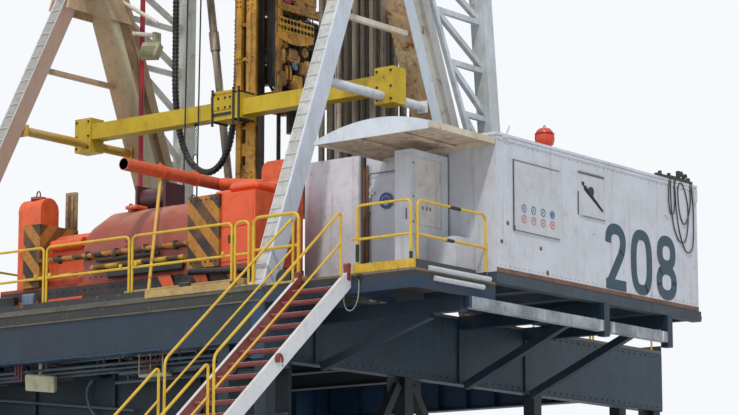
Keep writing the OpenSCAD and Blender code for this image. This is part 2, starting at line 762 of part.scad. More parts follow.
module travelling_block() color("#c9a51f") {
    box([-drive_half, -120, block_z + seat], [drive_half, 120, block_z + 250]);
    for (s = [-1, 1]) box([s * 460 - 40, -380, block_z + 250], [s * 460 + 40, 380, block_z + 1650]);
    sheave_row(block_axis_z, block_shaft_d, 480);
}

module drill_lines() color("#3a3a3a")
    for (i = [0 : sheave_n - 1]) for (s = [-1, 1])
        translate([(i - (sheave_n - 1) / 2) * sheave_step, s * line_y, block_axis_z])
            cylinder(d = line_d, h = sheave_z - block_axis_z, $fn = 8);

standpipe_x = -3450;
standpipe_y = -900;
standpipe_top = 13200;
gooseneck_r = 485;
gooseneck_drop = 300;
hose_d = 120;
hose_sides = 10;
hose_x0 = standpipe_x + 2 * gooseneck_r;
hose_x1 = -740;
hose_top = standpipe_top - gooseneck_r - gooseneck_drop;
hose_end_z = drive_z + 2300;

// Route of the rotary hose, in the plane of the standpipe's gooseneck
hose_route = [[hose_x0, hose_top - seat], [hose_x0, 9600], [hose_x0, 6700], [-2450, 5100], [-2200, 4050],
              [-1800, 3560], [-1350, 3500], [-980, 3900], [-790, 4800], [hose_x1, 5900],
              [hose_x1, hose_end_z - seat]];
hose_steps = 5;

// Point on the smooth curve through the route, k counting steps along it
function hose_at(k) = let (
        last = len(hose_route) - 1,
        i = min(floor(k / hose_steps), last - 1),
        t = k / hose_steps - i,
        a = hose_route[max(i - 1, 0)], b = hose_route[i], c = hose_route[i + 1], d = hose_route[min(i + 2, last)])
    0.5 * (2 * b + (c - a) * t + (2 * a - 5 * b + 4 * c - d) * t * t + (3 * b - a - 3 * c + d) * t * t * t);

function hose_ring(k, n) = let (
        p = hose_at(k),
        u = unit(hose_at(min(k + 0.1, n)) - hose_at(max(k - 0.1, 0))))
    [for (j = [0 : hose_sides - 1]) let (a = j * 360 / hose_sides, r = hose_d / 2)
        [p.x - u.y * r * cos(a), standpipe_y + r * sin(a), p.y + u.x * r * cos(a)]];

// Standpipe with its gooseneck
module standpipe() color("#a3273a")
    upright_run([standpipe_x, standpipe_y, 0], 0,
        [[0, 0], [0, standpipe_top], [2 * gooseneck_r, standpipe_top], [2 * gooseneck_r, hose_top]],
        110, gooseneck_r - 1);

// Rotary hose: down from the gooseneck, round its loop and up to the top drive
module rotary_hose() color("#1c1c1e") {
    n = hose_steps * (len(hose_route) - 1);
    m = hose_sides;
    polyhedron(
        points = [for (k = [0 : n]) each hose_ring(k, n)],
        faces = concat(
            [[for (j = [0 : m - 1]) m - 1 - j]],
            [[for (j = [0 : m - 1]) n * m + j]],
            [for (k = [0 : n - 1]) for (j = [0 : m - 1]) [k * m + j, k * m + (j + 1) % m, (k + 1) * m + j]],
            [for (k = [0 : n - 1]) for (j = [0 : m - 1])
                [k * m + (j + 1) % m, (k + 1) * m + (j + 1) % m, (k + 1) * m + j]]));
}

dw_x0 = -600;
dw_x1 = 2100;
dw_y0 = -5500;
dw_d = 1400;
dw_y1 = dw_y0 + dw_d;
dw_skid_h = 560;
dw_top = 1930;
dw_left = -2850;
dw_right = 3690;
hazard_w = 770;

// Rounded drum housing
module drawworks_housing() color("#a5402f")
    translate([dw_x0, 0, 0]) rotate([90, 0, 90]) linear_extrude(dw_x1 - dw_x0)
        hull() {
            translate([dw_y0, dw_skid_h]) square([dw_d, 100]);
            translate([dw_y0 + 600, dw_top - 600]) circle(r = 600, $fn = 64);
            translate([dw_y1 - 500, dw_top - 540]) circle(r = 500, $fn = 64);
        }

left_plate_x = dw_x0 - 1580;
left_plate_z = 1800;
bumper_z = 1050;

module drawworks_skid() color("#c9502a") {
    box([left_plate_x - 170, dw_y1 - 150, dw_skid_h - seat], [left_plate_x + 80, dw_y1 - 50, left_plate_z + 850]);
    for (y = [dw_y0, dw_y1 - 200]) box([dw_left, y, 0], [dw_right, y + 200, dw_skid_h - seat]);
    for (x = [dw_left, dw_x0, dw_x1 - 200, dw_right - 200])
        box([x, dw_y0 + 200, 100], [x + 200, dw_y1 - 200, dw_skid_h - seat]);
}

module hazard_plates() color("#b98a1e") {
    box([dw_x1 + gap, dw_y0 - 60, dw_skid_h], [dw_x1 + hazard_w, dw_y1 - 100, dw_top - 30]);
    box([left_plate_x, dw_y0 - 60, dw_skid_h], [left_plate_x + 440, dw_y1 - 400, left_plate_z]);
    rod([left_plate_x + 440, dw_y0 - 50 - seat, bumper_z], [dw_x1 + gap, dw_y0 - 50 - seat, bumper_z], 100);
}

module drawworks_drives() color("#d9531e") {
    box([dw_x1 + hazard_w + gap, dw_y0, dw_skid_h], [dw_right, dw_y1 - 100, dw_top - 30]);
    box([left_plate_x - 620, dw_y0 + 400, dw_skid_h], [left_plate_x - gap, dw_y0 + 900, left_plate_z + 400]);
    translate([left_plate_x - 620, dw_y0 + 650, left_plate_z + 400]) rotate([0, 90, 0])
        cylinder(d = 500, h = 620 - gap, $fn = 48);
    box([left_plate_x + 440 + gap, dw_y0 + 200, dw_skid_h], [dw_x0 - gap, dw_y0 + 1000, left_plate_z - 450]);
    translate([left_plate_x + 440 + gap, dw_y0 + 600, left_plate_z - 450]) rotate([0, 90, 0])
        cylinder(d = 560, h = dw_x0 - left_plate_x - 440 - 2 * gap, $fn = 48);
}

hood_y = -3650;
hood_x0 = 2520;
hood_x1 = 3050;
intake_x = 1150;
intake_z = 2540;
intake_d = 240;
intake_end = front_y + 10;

hood_step_z = 2250;
hood_top_z = 2760;
hood_round = 180;
hood_pipe_gap = 16;

module blower_duct() color("#d9531e") {
    box([hood_x0 - 190, hood_y - 300, 0], [hood_x1, hood_y + 300, hood_step_z]);
    box([hood_x0, hood_y - 300, hood_step_z], [hood_x1, hood_y + 300, hood_top_z - hood_round]);
    box([hood_x0 + hood_round, hood_y - 300, hood_top_z - hood_round], [hood_x1, hood_y + 300, hood_top_z]);
    translate([hood_x0 + hood_round, hood_y - 300, hood_top_z - hood_round]) rotate([-90, 0, 0])
        cylinder(r = hood_round, h = 600, $fn = 48);
    rod([intake_x + 120 + hood_pipe_gap, hood_y, intake_z - 15], [hood_x0 + 30, hood_y, intake_z - 190], 230);
}

module intake_pipe() color("#b8402c") {
    difference() {
        union() {
            rod([intake_x, hood_y + 120, intake_z], [intake_x, intake_end, intake_z], intake_d, 48);
            box([intake_x - 60, hood_y - 100, intake_z - 100],
                [intake_x + 120 - seat, hood_y + 100, intake_z + 100]);
        }
        rod([intake_x, hood_y, intake_z], [intake_x, intake_end - 1, intake_z], intake_d - 24, 48);
    }
    rod([intake_x, front_y + 150, seat], [intake_x, front_y + 150, intake_z - intake_d / 2 + 5], 50);
}

winch_y = -3600;

module air_winch() color("#5c1f24") {
    box([-800, winch_y - 250, 0], [-600, winch_y + 250, 2050]);
    box([-850, winch_y - 300, 2050], [50, winch_y + 300, 2100]);
    translate([-750, winch_y, 2400]) rotate([0, 90, 0]) cylinder(d = 480, h = 700, $fn = 48);
    for (x = [-800, -50]) box([x, winch_y - 280, 2100], [x + 60, winch_y + 280, 2680]);
}

// Point on the nosing line of the stair, at a depth below the floor
function stair_pt(drop) = front_y - drop / tan(stair_slope);

// Height of a stringer's top edge above the nosing line
stringer_up = 100;

module stringer(x) {
    s = stair_stringer_h / cos(stair_slope);
    translate([x, 0, 0]) rotate([90, 0, 90]) linear_extrude(stair_stringer_w)
        polygon([[front_y - seat, stringer_up], [front_y - seat, stringer_up - s],
                 [stair_pt(floor_h + stringer_up - s), ground_z], [stair_pt(floor_h + stringer_up), ground_z]]);
}

module stair_stringers() color("#dcdcdc") {
    stringer(stair_x0);
    stringer(stair_x0 + stair_stringer_w + stair_w);
}

module stair_treads() color("#7c2a2c") {
    rise = floor_h / (tread_n + 1);
    for (i = [1 : tread_n]) {
        y = stair_pt(i * rise);
        box([stair_x0 + stair_stringer_w, y - 30, -i * rise - 45],
            [stair_x0 + stair_stringer_w + stair_w, y - 30 + tread_d, -i * rise]);
    }
}

rail_z = rail_h - rail_d / 2;
rail_bend = 110;

// Upright rail panel along a level edge: a bent tube hoop with a middle rail
module rail_panel(p, q) {
    l = norm(q - p);
    az = atan2(q.y - p.y, q.x - p.x);
    upright_run(p, az, [[0, 0], [0, rail_z], [l, rail_z], [l, 0]], rail_d, rail_bend);
    rod(p + [0, 0, rail_z / 2], q + [0, 0, rail_z / 2], rail_d);
}

// Sloped handrail on two posts, with a middle rail, standing on one stringer
module stair_rail(x, drop0, drop1) {
    y0 = stair_pt(drop0);
    y1 = stair_pt(drop1);
    base = stringer_up + stair_post_d / 2 * tan(stair_slope) + seat;
    past = [0, rail_past, rail_past * tan(stair_slope)];
    rod([x, y0, base - drop0], [x, y0, rail_z - drop0], stair_post_d);
    rod([x, y1, base - drop1], [x, y1, rail_z - drop1], stair_post_d);
    rod([x, y0, rail_z - drop0] + past, [x, y1, rail_z - drop1] - past, rail_d);
    rod([x, y0, stair_mid_z - drop0], [x, y1, stair_mid_z - drop1], stair_mid_d);
}

rail_past = 60;
stair_post_d = rail_d - 6;
stair_mid_d = rail_d - 12;
stair_mid_z = rail_z / 2 + 60;
stair_rail_drops = [[180, 2300], [2540, 4420], [4640, 6240], [6460, 7860]];

module stair_rails() color("#d8b01c")
    for (x = [stair_x0 + stair_stringer_w / 2, stair_x0 + stair_stringer_w * 1.5 + stair_w])
        for (span = stair_rail_drops) stair_rail(x, span[0], span[1]);

rail_inset = 90;
side_rail_inset = 45;

// Rail panels along an edge of the floor, split into n equal lengths
module rail_row(p, q, n) {
    u = (q - p) / n;
    m = u / norm(u) * 40;
    for (i = [0 : n - 1]) rail_panel(p + u * i + m, p + u * (i + 1) - m);
}

front_rail_end = front_leg_x - front_leg_w - 60;
front_rail_spans = [[-front_rail_end, -2600], [-2520, -960], [-880, 1250], [1330, 3750], [3830, front_rail_end]];

module floor_rails() color("#d8b01c") {
    y = front_y + rail_inset;
    xl = -floor_half_w + side_rail_inset;
    yb = floor_back - rail_inset;
    for (span = front_rail_spans) rail_panel([span[0], y, 0], [span[1], y, 0]);
    x0 = stair_x0 + stair_w + 2 * stair_stringer_w + 60;
    rail_row([x0, y - 40, 0], [landing_x1 - 60, y - 40, 0], 1);
    rail_row([landing_x1 - 50, y + 40, 0], [landing_x1 - 50, cabin_y0 - 200, 0], 1);
    rail_row([xl, front_y + 950, curb_h], [xl, floor_back - 150, curb_h], 5);
    rail_row([-floor_half_w + 150, yb, 0], [-1300, yb, 0], 2);
    rail_row([1300, yb, 0], [floor_half_w - 150, yb, 0], 2);
}

module wind_wall() color("#dfe3e6")
    box([floor_half_w - 1300, cabin_y0 + 300, 0], [floor_half_w - 20, cabin_y0 + 360, 2700]);

module cabin_skid() color("#3a3f3c") {
    for (x = [cabin_x0, cabin_x - 200]) box([x, cabin_y0, 0], [x + 200, cabin_y0 + cabin_l + 100, skid_h]);
    for (i = [0 : 5])
        box([cabin_x0 + 200, cabin_y0 + i * (cabin_l - 150) / 5, 20],
            [cabin_x - 200, cabin_y0 + i * (cabin_l - 150) / 5 + 150, skid_h]);
    box([cabin_x0, cabin_y0, skid_h - 20], [cabin_x, cabin_y0 + cabin_l, skid_h]);
}

// Two side walls and the back wall
module cabin_walls() color("#e3e5e6") {
    y1 = cabin_y0 + cabin_l;
    box([cabin_x - wall_t, cabin_y0, cabin_z0], [cabin_x, y1, roof_z]);
    box([cabin_x0, cabin_y0, cabin_z0], [cabin_x0 + wall_t, y1, roof_z]);
    box([cabin_x0 + wall_t, y1 - wall_t, cabin_z0], [cabin_x - wall_t, y1, roof_z]);
}

// Front wall, split beside and over the doorway
module cabin_front() color("#e3e5e6") {
    y1 = cabin_y0 + wall_t;
    box([cabin_x0 + wall_t, cabin_y0, cabin_z0], [door_x0, y1, roof_z]);
    for (z = hinge_zs) hinge_fixed(z);
    box([door_x0, cabin_y0, cabin_z0 + door_h], [door_x0 + door_w, y1, roof_z]);
    box([door_x0 + door_w, cabin_y0, cabin_z0], [cabin_x - wall_t, y1, roof_z]);
}

module cabin_roof() color("#e8eaeb")
    box([cabin_x0 - roof_over, cabin_y0 - roof_over, roof_z],
        [cabin_x + roof_over, cabin_y0 + cabin_l + roof_over, roof_z + roof_t]);

door_t = 50;
door_gap = 6;
hinge_r = 14;
hinge_y = cabin_y0 - door_t - door_gap - hinge_r - gap;
hinge_pin_r = 6;
knuckle_h = 60;
hinge_zs = [cabin_z0 + 300, cabin_z0 + door_h - 360];

// Door leaf with one knuckle at each hinge
module cabin_door() color("#e3e5e6") {
    x = door_x0;
    difference() {
        union() {
            box([x + door_gap, cabin_y0 - door_t - door_gap, cabin_z0 + door_gap],
                [x + door_w - door_gap, cabin_y0 - door_gap, cabin_z0 + door_h - door_gap]);
            for (z = hinge_zs) {
                translate([x, hinge_y, z + seat]) cylinder(r = hinge_r, h = knuckle_h - 2 * seat, $fn = 32);
                box([x, hinge_y - hinge_r, z + seat], [x + 90, cabin_y0 - door_t - door_gap, z + knuckle_h - seat]);
            }
        }
        for (z = hinge_zs)
            translate([x, hinge_y, z - 1]) cylinder(r = hinge_pin_r + seat, h = knuckle_h + 2, $fn = 32);
    }
}

// Pin with its two knuckles and the leaf that holds them to the wall
module hinge_fixed(z) {
    translate([door_x0, hinge_y, z - knuckle_h]) cylinder(r = hinge_pin_r, h = 3 * knuckle_h, $fn = 32);
    for (k = [z - knuckle_h, z + knuckle_h]) {
        translate([door_x0, hinge_y, k]) cylinder(r = hinge_r, h = knuckle_h, $fn = 32);
        box([door_x0 - 40, hinge_y - 5, k], [door_x0 - 8, cabin_y0, k + knuckle_h]);
    }
}

canopy_d = 2000;
canopy_x0 = cabin_x - 2510;
canopy_z = 2440;
canopy_back = cabin_y0 - roof_over - seat;
canopy_t = 40;
canopy_steps = 14;

// Height of the canopy's arched top at u, the share of its width from the stair side
function canopy_top(u) = canopy_z + 80 + 950 * u - 820 * u * u;

// Cross-section of the canopy, drawn in by t on all sides
function canopy_section(t) = let (x0 = canopy_x0 + t, x1 = cabin_x - t)
    concat([[x1, canopy_z + t], [x0, canopy_z + t]],
        [for (i = [0 : canopy_steps]) let (x = x0 + i * (x1 - x0) / canopy_steps)
            [x, canopy_top((x - canopy_x0) / (cabin_x - canopy_x0)) - t]]);

// Arched canopy over the landing: curved roof, flat ceiling, side boards and front board
module canopy() color("#dde4ec")
    translate([0, canopy_back, 0]) rotate([90, 0, 0]) difference() {
        linear_extrude(canopy_d) polygon(canopy_section(0));
        translate([0, 0, -1]) linear_extrude(canopy_d - canopy_t + 1) polygon(canopy_section(canopy_t));
    }

module cabin_lockers() color("#e3e5e6") {
    box([cabin_x - 1410, cabin_y0 - 1100, seat], [cabin_x - 1050, cabin_y0 - seat, 2350]);
    box([cabin_x - 1050 + gap, cabin_y0 - 600, seat], [cabin_x - 450, cabin_y0 - seat, 800]);
}

module cabin_fittings() color("#d5d8d6") {
    box([cabin_x + seat, cabin_y0 + 520, 1000], [cabin_x + 18, cabin_y0 + 2000, 2280]);
    box([cabin_x + seat, cabin_y0 + 2600, 1550], [cabin_x + 40, cabin_y0 + 3550, 2390]);
    translate([cabin_x - 200, cabin_y0 + 1700, roof_z + roof_t + seat]) cylinder(d = 260, h = 330, $fn = 32);
}

module floodlights() color("#9aa07f") {
    for (y = [-1200, 2000])
        box([-floor_half_w - 320, y, -1100], [-floor_half_w - 60, y + 500, -700]);
    box([-floor_half_w - 62, -1200, -800], [-floor_half_w + 0, 2500, -740]);
}

base_box_left();
base_box_right();
base_spreaders();
substructure_posts();
substructure_braces();
side_girders();
end_girders();
floor_beams();
drill_floor();
floor_curb();
rotary_table();
landing();
cabin_brackets();
a_frame_front_legs();
a_frame_back_legs();
a_frame_struts();
a_frame_top();
a_frame_ladders();
torque_crossbeam();
mast_left_side();
mast_right_side();
mast_front_bracing();
crown_frame();
crown_sheaves();
racking_board();
pipe_stands();
guide_column();
top_drive();
drive_guard();
mousehole_pipe();
drive_links();
travelling_block();
drill_lines();
standpipe();
rotary_hose();
drawworks_housing();
drawworks_skid();
hazard_plates();
drawworks_drives();
blower_duct();
intake_pipe();
air_winch();
stair_stringers();
stair_treads();
stair_rails();
floor_rails();
wind_wall();
cabin_skid();
cabin_walls();
cabin_front();
cabin_roof();
cabin_door();
canopy();
cabin_lockers();
cabin_fittings();
floodlights();
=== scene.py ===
# Oil drilling rig: camera, light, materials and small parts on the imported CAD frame
import bpy
import bmesh
import math
import random
from mathutils import Vector, Matrix


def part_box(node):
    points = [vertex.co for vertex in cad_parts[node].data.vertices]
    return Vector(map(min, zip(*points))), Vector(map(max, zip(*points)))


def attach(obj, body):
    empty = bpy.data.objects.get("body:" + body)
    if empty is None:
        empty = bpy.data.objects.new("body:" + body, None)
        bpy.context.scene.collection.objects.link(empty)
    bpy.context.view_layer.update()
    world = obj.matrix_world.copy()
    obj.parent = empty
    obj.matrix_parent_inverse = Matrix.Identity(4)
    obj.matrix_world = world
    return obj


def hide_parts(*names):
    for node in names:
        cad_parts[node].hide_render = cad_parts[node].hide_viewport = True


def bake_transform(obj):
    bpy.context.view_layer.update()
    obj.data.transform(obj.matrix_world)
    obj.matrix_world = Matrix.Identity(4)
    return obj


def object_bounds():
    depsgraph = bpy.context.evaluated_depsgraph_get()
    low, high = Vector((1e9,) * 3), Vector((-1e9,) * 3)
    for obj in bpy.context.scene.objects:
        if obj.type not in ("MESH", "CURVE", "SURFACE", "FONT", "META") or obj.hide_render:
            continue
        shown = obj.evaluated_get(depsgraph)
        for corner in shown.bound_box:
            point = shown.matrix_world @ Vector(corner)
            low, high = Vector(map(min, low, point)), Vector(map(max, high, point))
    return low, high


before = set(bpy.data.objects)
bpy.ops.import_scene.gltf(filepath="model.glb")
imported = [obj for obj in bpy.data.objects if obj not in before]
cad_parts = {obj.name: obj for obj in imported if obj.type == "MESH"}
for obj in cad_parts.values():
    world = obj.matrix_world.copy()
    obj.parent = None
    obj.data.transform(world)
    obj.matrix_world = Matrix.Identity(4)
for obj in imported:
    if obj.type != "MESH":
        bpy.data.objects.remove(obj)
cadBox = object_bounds()
groundZ = cadBox[0].z
print("frame loaded:", len(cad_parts), "nodes")


# Linear colour of a hex number
def rgb(text):
    parts = [int(text[i:i + 2], 16) / 255 for i in (0, 2, 4)]
    return tuple(c / 12.92 if c <= 0.04045 else ((c + 0.055) / 1.055) ** 2.4 for c in parts) + (1.0,)


# Camera at the photo's angle
viewFrom = {"place": (33.5, -40.55, -6.32), "azimuth": 37.8, "pitch": 9.726, "lens": 125.2}
eye = bpy.data.objects.new("Camera", bpy.data.cameras.new("Camera"))
bpy.context.scene.collection.objects.link(eye)
eye.data.lens = viewFrom["lens"]
eye.data.sensor_width = 36
eye.data.clip_start = 0.5
eye.data.clip_end = 600
eye.location = viewFrom["place"]
eye.rotation_euler = (math.radians(90 + viewFrom["pitch"]), 0, math.radians(viewFrom["azimuth"]))
bpy.context.scene.camera = eye

# Shader groups


# Sets an input to a value, or links it to another node's output
def feed(tree, socket, value):
    if isinstance(value, bpy.types.NodeSocket):
        tree.links.new(value, socket)
    else:
        socket.default_value = value


# A node with its settings and inputs by name, a space in a name written as a low line
def addNode(tree, kind, place=(0, 0), **values):
    node = tree.nodes.new(kind)
    node.location = place
    for key, value in values.items():
        if hasattr(node, key):
            setattr(node, key, value)
        else:
            feed(tree, node.inputs[key.replace("_", " ")], value)
    return node


def newGroup(name, ins, outs):
    tree = bpy.data.node_groups.new(name, "ShaderNodeTree")
    for label, kind, value in ins:
        item = tree.interface.new_socket(label, in_out="INPUT", socket_type=kind)
        if value is not None:
            item.default_value = value
    for label, kind in outs:
        tree.interface.new_socket(label, in_out="OUTPUT", socket_type=kind)
    return tree, tree.nodes.new("NodeGroupInput"), tree.nodes.new("NodeGroupOutput")


def ramp(tree, source, low, high):
    return addNode(tree, "ShaderNodeMapRange", interpolation_type="SMOOTHSTEP",
                   From_Min=low, From_Max=high, Value=source).outputs["Result"]


def noiseOf(tree, vector, scale, detail=6.0, rough=0.6, distortion=0.0):
    return addNode(tree, "ShaderNodeTexNoise", Detail=detail, Roughness=rough, Distortion=distortion,
                   Scale=scale, Vector=vector).outputs["Fac"]


def axesOf(tree, vector):
    return addNode(tree, "ShaderNodeSeparateXYZ", Vector=vector).outputs


def stretched(tree, vector, scale):
    node = addNode(tree, "ShaderNodeVectorMath", operation="MULTIPLY")
    feed(tree, node.inputs[0], vector)
    feed(tree, node.inputs[1], scale)
    return node.outputs["Vector"]


def sum2(tree, a, b, kind="ADD", clamp=False):
    node = addNode(tree, "ShaderNodeMath", operation=kind, use_clamp=clamp)
    feed(tree, node.inputs[0], a)
    feed(tree, node.inputs[1], b)
    return node.outputs["Value"]


def times(tree, a, b, clamp=False):
    return sum2(tree, a, b, "MULTIPLY", clamp)


def mixed(tree, factor, a, b):
    node = addNode(tree, "ShaderNodeMix", data_type="RGBA")
    for k, value in ((0, factor), (6, a), (7, b)):
        feed(tree, node.inputs[k], value)
    return node.outputs[2]


# Old paint: fading, grime, vertical runs, chips down to rust
def weatherGroup():
    tree, ins, outs = newGroup(
        "Weathered paint",
        [("Vector", "NodeSocketVector", None), ("Paint", "NodeSocketColor", None),
         ("Faded", "NodeSocketColor", None), ("Grime", "NodeSocketColor", None),
         ("Rust", "NodeSocketColor", None), ("Fade", "NodeSocketFloat", 0.5),
         ("Dirt", "NodeSocketFloat", 0.5), ("Chips", "NodeSocketFloat", 0.3),
         ("Runs", "NodeSocketFloat", 0.3), ("Scale", "NodeSocketFloat", 1.0),
         ("Gloss", "NodeSocketFloat", 0.5)],
        [("Colour", "NodeSocketColor"), ("Roughness", "NodeSocketFloat"), ("Height", "NodeSocketFloat")])
    given = ins.outputs
    size = addNode(tree, "ShaderNodeVectorMath", operation="SCALE", Scale=given["Scale"])
    feed(tree, size.inputs[0], given["Vector"])
    p = size.outputs["Vector"]
    broad = noiseOf(tree, p, 0.9, 5, 0.62)
    cloud = noiseOf(tree, p, 4.5, 8, 0.68, 0.4)
    fine = noiseOf(tree, p, 26, 6, 0.7)
    streaks = noiseOf(tree, stretched(tree, p, (5.0, 5.0, 0.32)), 1.5, 5, 0.6)
    faded = times(tree, ramp(tree, broad, 0.38, 0.66), given["Fade"], True)
    colour = mixed(tree, faded, given["Paint"], given["Faded"])
    dirty = times(tree, ramp(tree, cloud, 0.42, 0.78), given["Dirt"], True)
    colour = mixed(tree, dirty, colour, given["Grime"])
    run = times(tree, ramp(tree, streaks, 0.52, 0.78), given["Runs"], True)
    colour = mixed(tree, run, colour, given["Grime"])
    edge = sum2(tree, sum2(tree, cloud, times(tree, fine, 0.45)), times(tree, given["Chips"], 0.34))
    chip = ramp(tree, edge, 1.02, 1.07)
    feed(tree, outs.inputs["Colour"], mixed(tree, chip, colour, given["Rust"]))
    rough = sum2(tree, given["Gloss"], times(tree, fine, 0.22))
    feed(tree, outs.inputs["Roughness"], sum2(tree, rough, times(tree, chip, 0.25), "ADD", True))
    height = sum2(tree, times(tree, fine, 0.35), times(tree, chip, -0.5))
    feed(tree, outs.inputs["Height"], sum2(tree, height, times(tree, cloud, 0.4)))
    return tree


# Dust on what faces up
# on the drawworks housing this pale top colour is a painted highlight
def topDustAndHighlightGroup():
    tree, ins, outs = newGroup(
        "Dust and highlight on top", [("Colour", "NodeSocketColor", None), ("Dust", "NodeSocketColor", None),
                        ("Amount", "NodeSocketFloat", 0.4), ("Vector", "NodeSocketVector", None)],
        [("Colour", "NodeSocketColor")])
    given = ins.outputs
    normal = addNode(tree, "ShaderNodeNewGeometry").outputs["Normal"]
    up = ramp(tree, axesOf(tree, normal)["Z"], 0.35, 0.95)
    patch = ramp(tree, noiseOf(tree, given["Vector"], 3.0, 6, 0.7), 0.3, 0.62)
    both = times(tree, times(tree, up, patch), given["Amount"], True)
    feed(tree, outs.inputs["Colour"], mixed(tree, both, given["Colour"], given["Dust"]))
    return tree


weather = weatherGroup()
topDustAndHighlight = topDustAndHighlightGroup()


def newMaterial(name):
    m = bpy.data.materials.new(name)
    m.use_nodes = True
    tree = m.node_tree
    tree.nodes.clear()
    out = addNode(tree, "ShaderNodeOutputMaterial", (900, 0))
    shader = addNode(tree, "ShaderNodeBsdfPrincipled", (600, 0))
    tree.links.new(shader.outputs[0], out.inputs[0])
    where = addNode(tree, "ShaderNodeTexCoord", (-900, 0))
    return m, tree, shader, where.outputs["Object"]


def bumped(tree, shader, height, distance):
    node = addNode(tree, "ShaderNodeBump", (300, -300), Strength=0.6, Distance=distance, Height=height)
    feed(tree, shader.inputs["Normal"], node.outputs["Normal"])


def paint(name, colours, fade, dirt, chips, runs, gloss, scale, dustAndHighlight):
    m, tree, shader, v = newMaterial(name)
    base, faded, grime, rust = (rgb(colour) for colour in colours)
    if name in patterns:
        base = patterns[name](tree, v)
    coat = addNode(tree, "ShaderNodeGroup", (0, 0), node_tree=weather, Vector=v, Paint=base, Faded=faded,
                   Grime=grime, Rust=rust, Fade=fade, Dirt=dirt, Chips=chips, Runs=runs, Scale=scale,
                   Gloss=gloss)
    top = addNode(tree, "ShaderNodeGroup", (300, 0), node_tree=topDustAndHighlight, Colour=coat.outputs["Colour"],
                  Dust=rgb(dustAndHighlightColours.get(name, usualDust)), Amount=dustAndHighlight, Vector=v)
    feed(tree, shader.inputs["Base Color"], top.outputs["Colour"])
    feed(tree, shader.inputs["Roughness"], coat.outputs["Roughness"])
    shader.inputs["Metallic"].default_value = metal.get(name, 0.0)
    bumped(tree, shader, coat.outputs["Height"], bumpDepth)
    return m


# Diagonal warning stripes across X and Z
def stripes(width, slope, dark, light):
    def make(tree, v):
        where = axesOf(tree, v)
        along = sum2(tree, sum2(tree, where["X"], where["Y"], "SUBTRACT"), times(tree, where["Z"], slope))
        band = sum2(tree, sum2(tree, along, width, "DIVIDE"), 1.0, "FLOORED_MODULO")
        return mixed(tree, ramp(tree, band, 0.49, 0.51), rgb(dark), rgb(light))
    return make


# Colours in bands along an axis: (upper limit, colour), the last one without a limit
def byPlace(axis, bands):
    def make(tree, v):
        where = axesOf(tree, v)[axis]
        colour = rgb(bands[0][1])
        for (limit, shade), (nextLimit, nextShade) in zip(bands, bands[1:]):
            colour = mixed(tree, ramp(tree, where, limit - 0.004, limit + 0.004), colour, rgb(nextShade))
        return colour
    return make


# 1 inside a box, with None for a side that has no limit
def inBox(tree, v, low, high):
    where = axesOf(tree, v)
    mask = 1.0
    for axis, a, b in zip("XYZ", low, high):
        if a is not None:
            mask = times(tree, mask, ramp(tree, where[axis], a - 0.003, a + 0.003))
        if b is not None:
            past = ramp(tree, where[axis], b - 0.003, b + 0.003)
            mask = times(tree, mask, sum2(tree, 1.0, past, "SUBTRACT"))
    return mask


# Each upright pipe its own brown or grey
def pipeShades(tree, v):
    n = noiseOf(tree, stretched(tree, v, (2.6, 2.6, 0.015)), 1.7, 1.5, 0.5)
    low = mixed(tree, ramp(tree, n, 0.34, 0.45), rgb("5a5248"), rgb("9a8f80"))
    return mixed(tree, ramp(tree, n, 0.5, 0.6), low, rgb("d2c8b8"))


# One colour, with other colours inside boxes: (low, high, colour)
def byBoxes(ground, boxes):
    def make(tree, v):
        colour = rgb(ground)
        for low, high, shade in boxes:
            colour = mixed(tree, inBox(tree, v, low, high), colour, rgb(shade))
        return colour
    return make
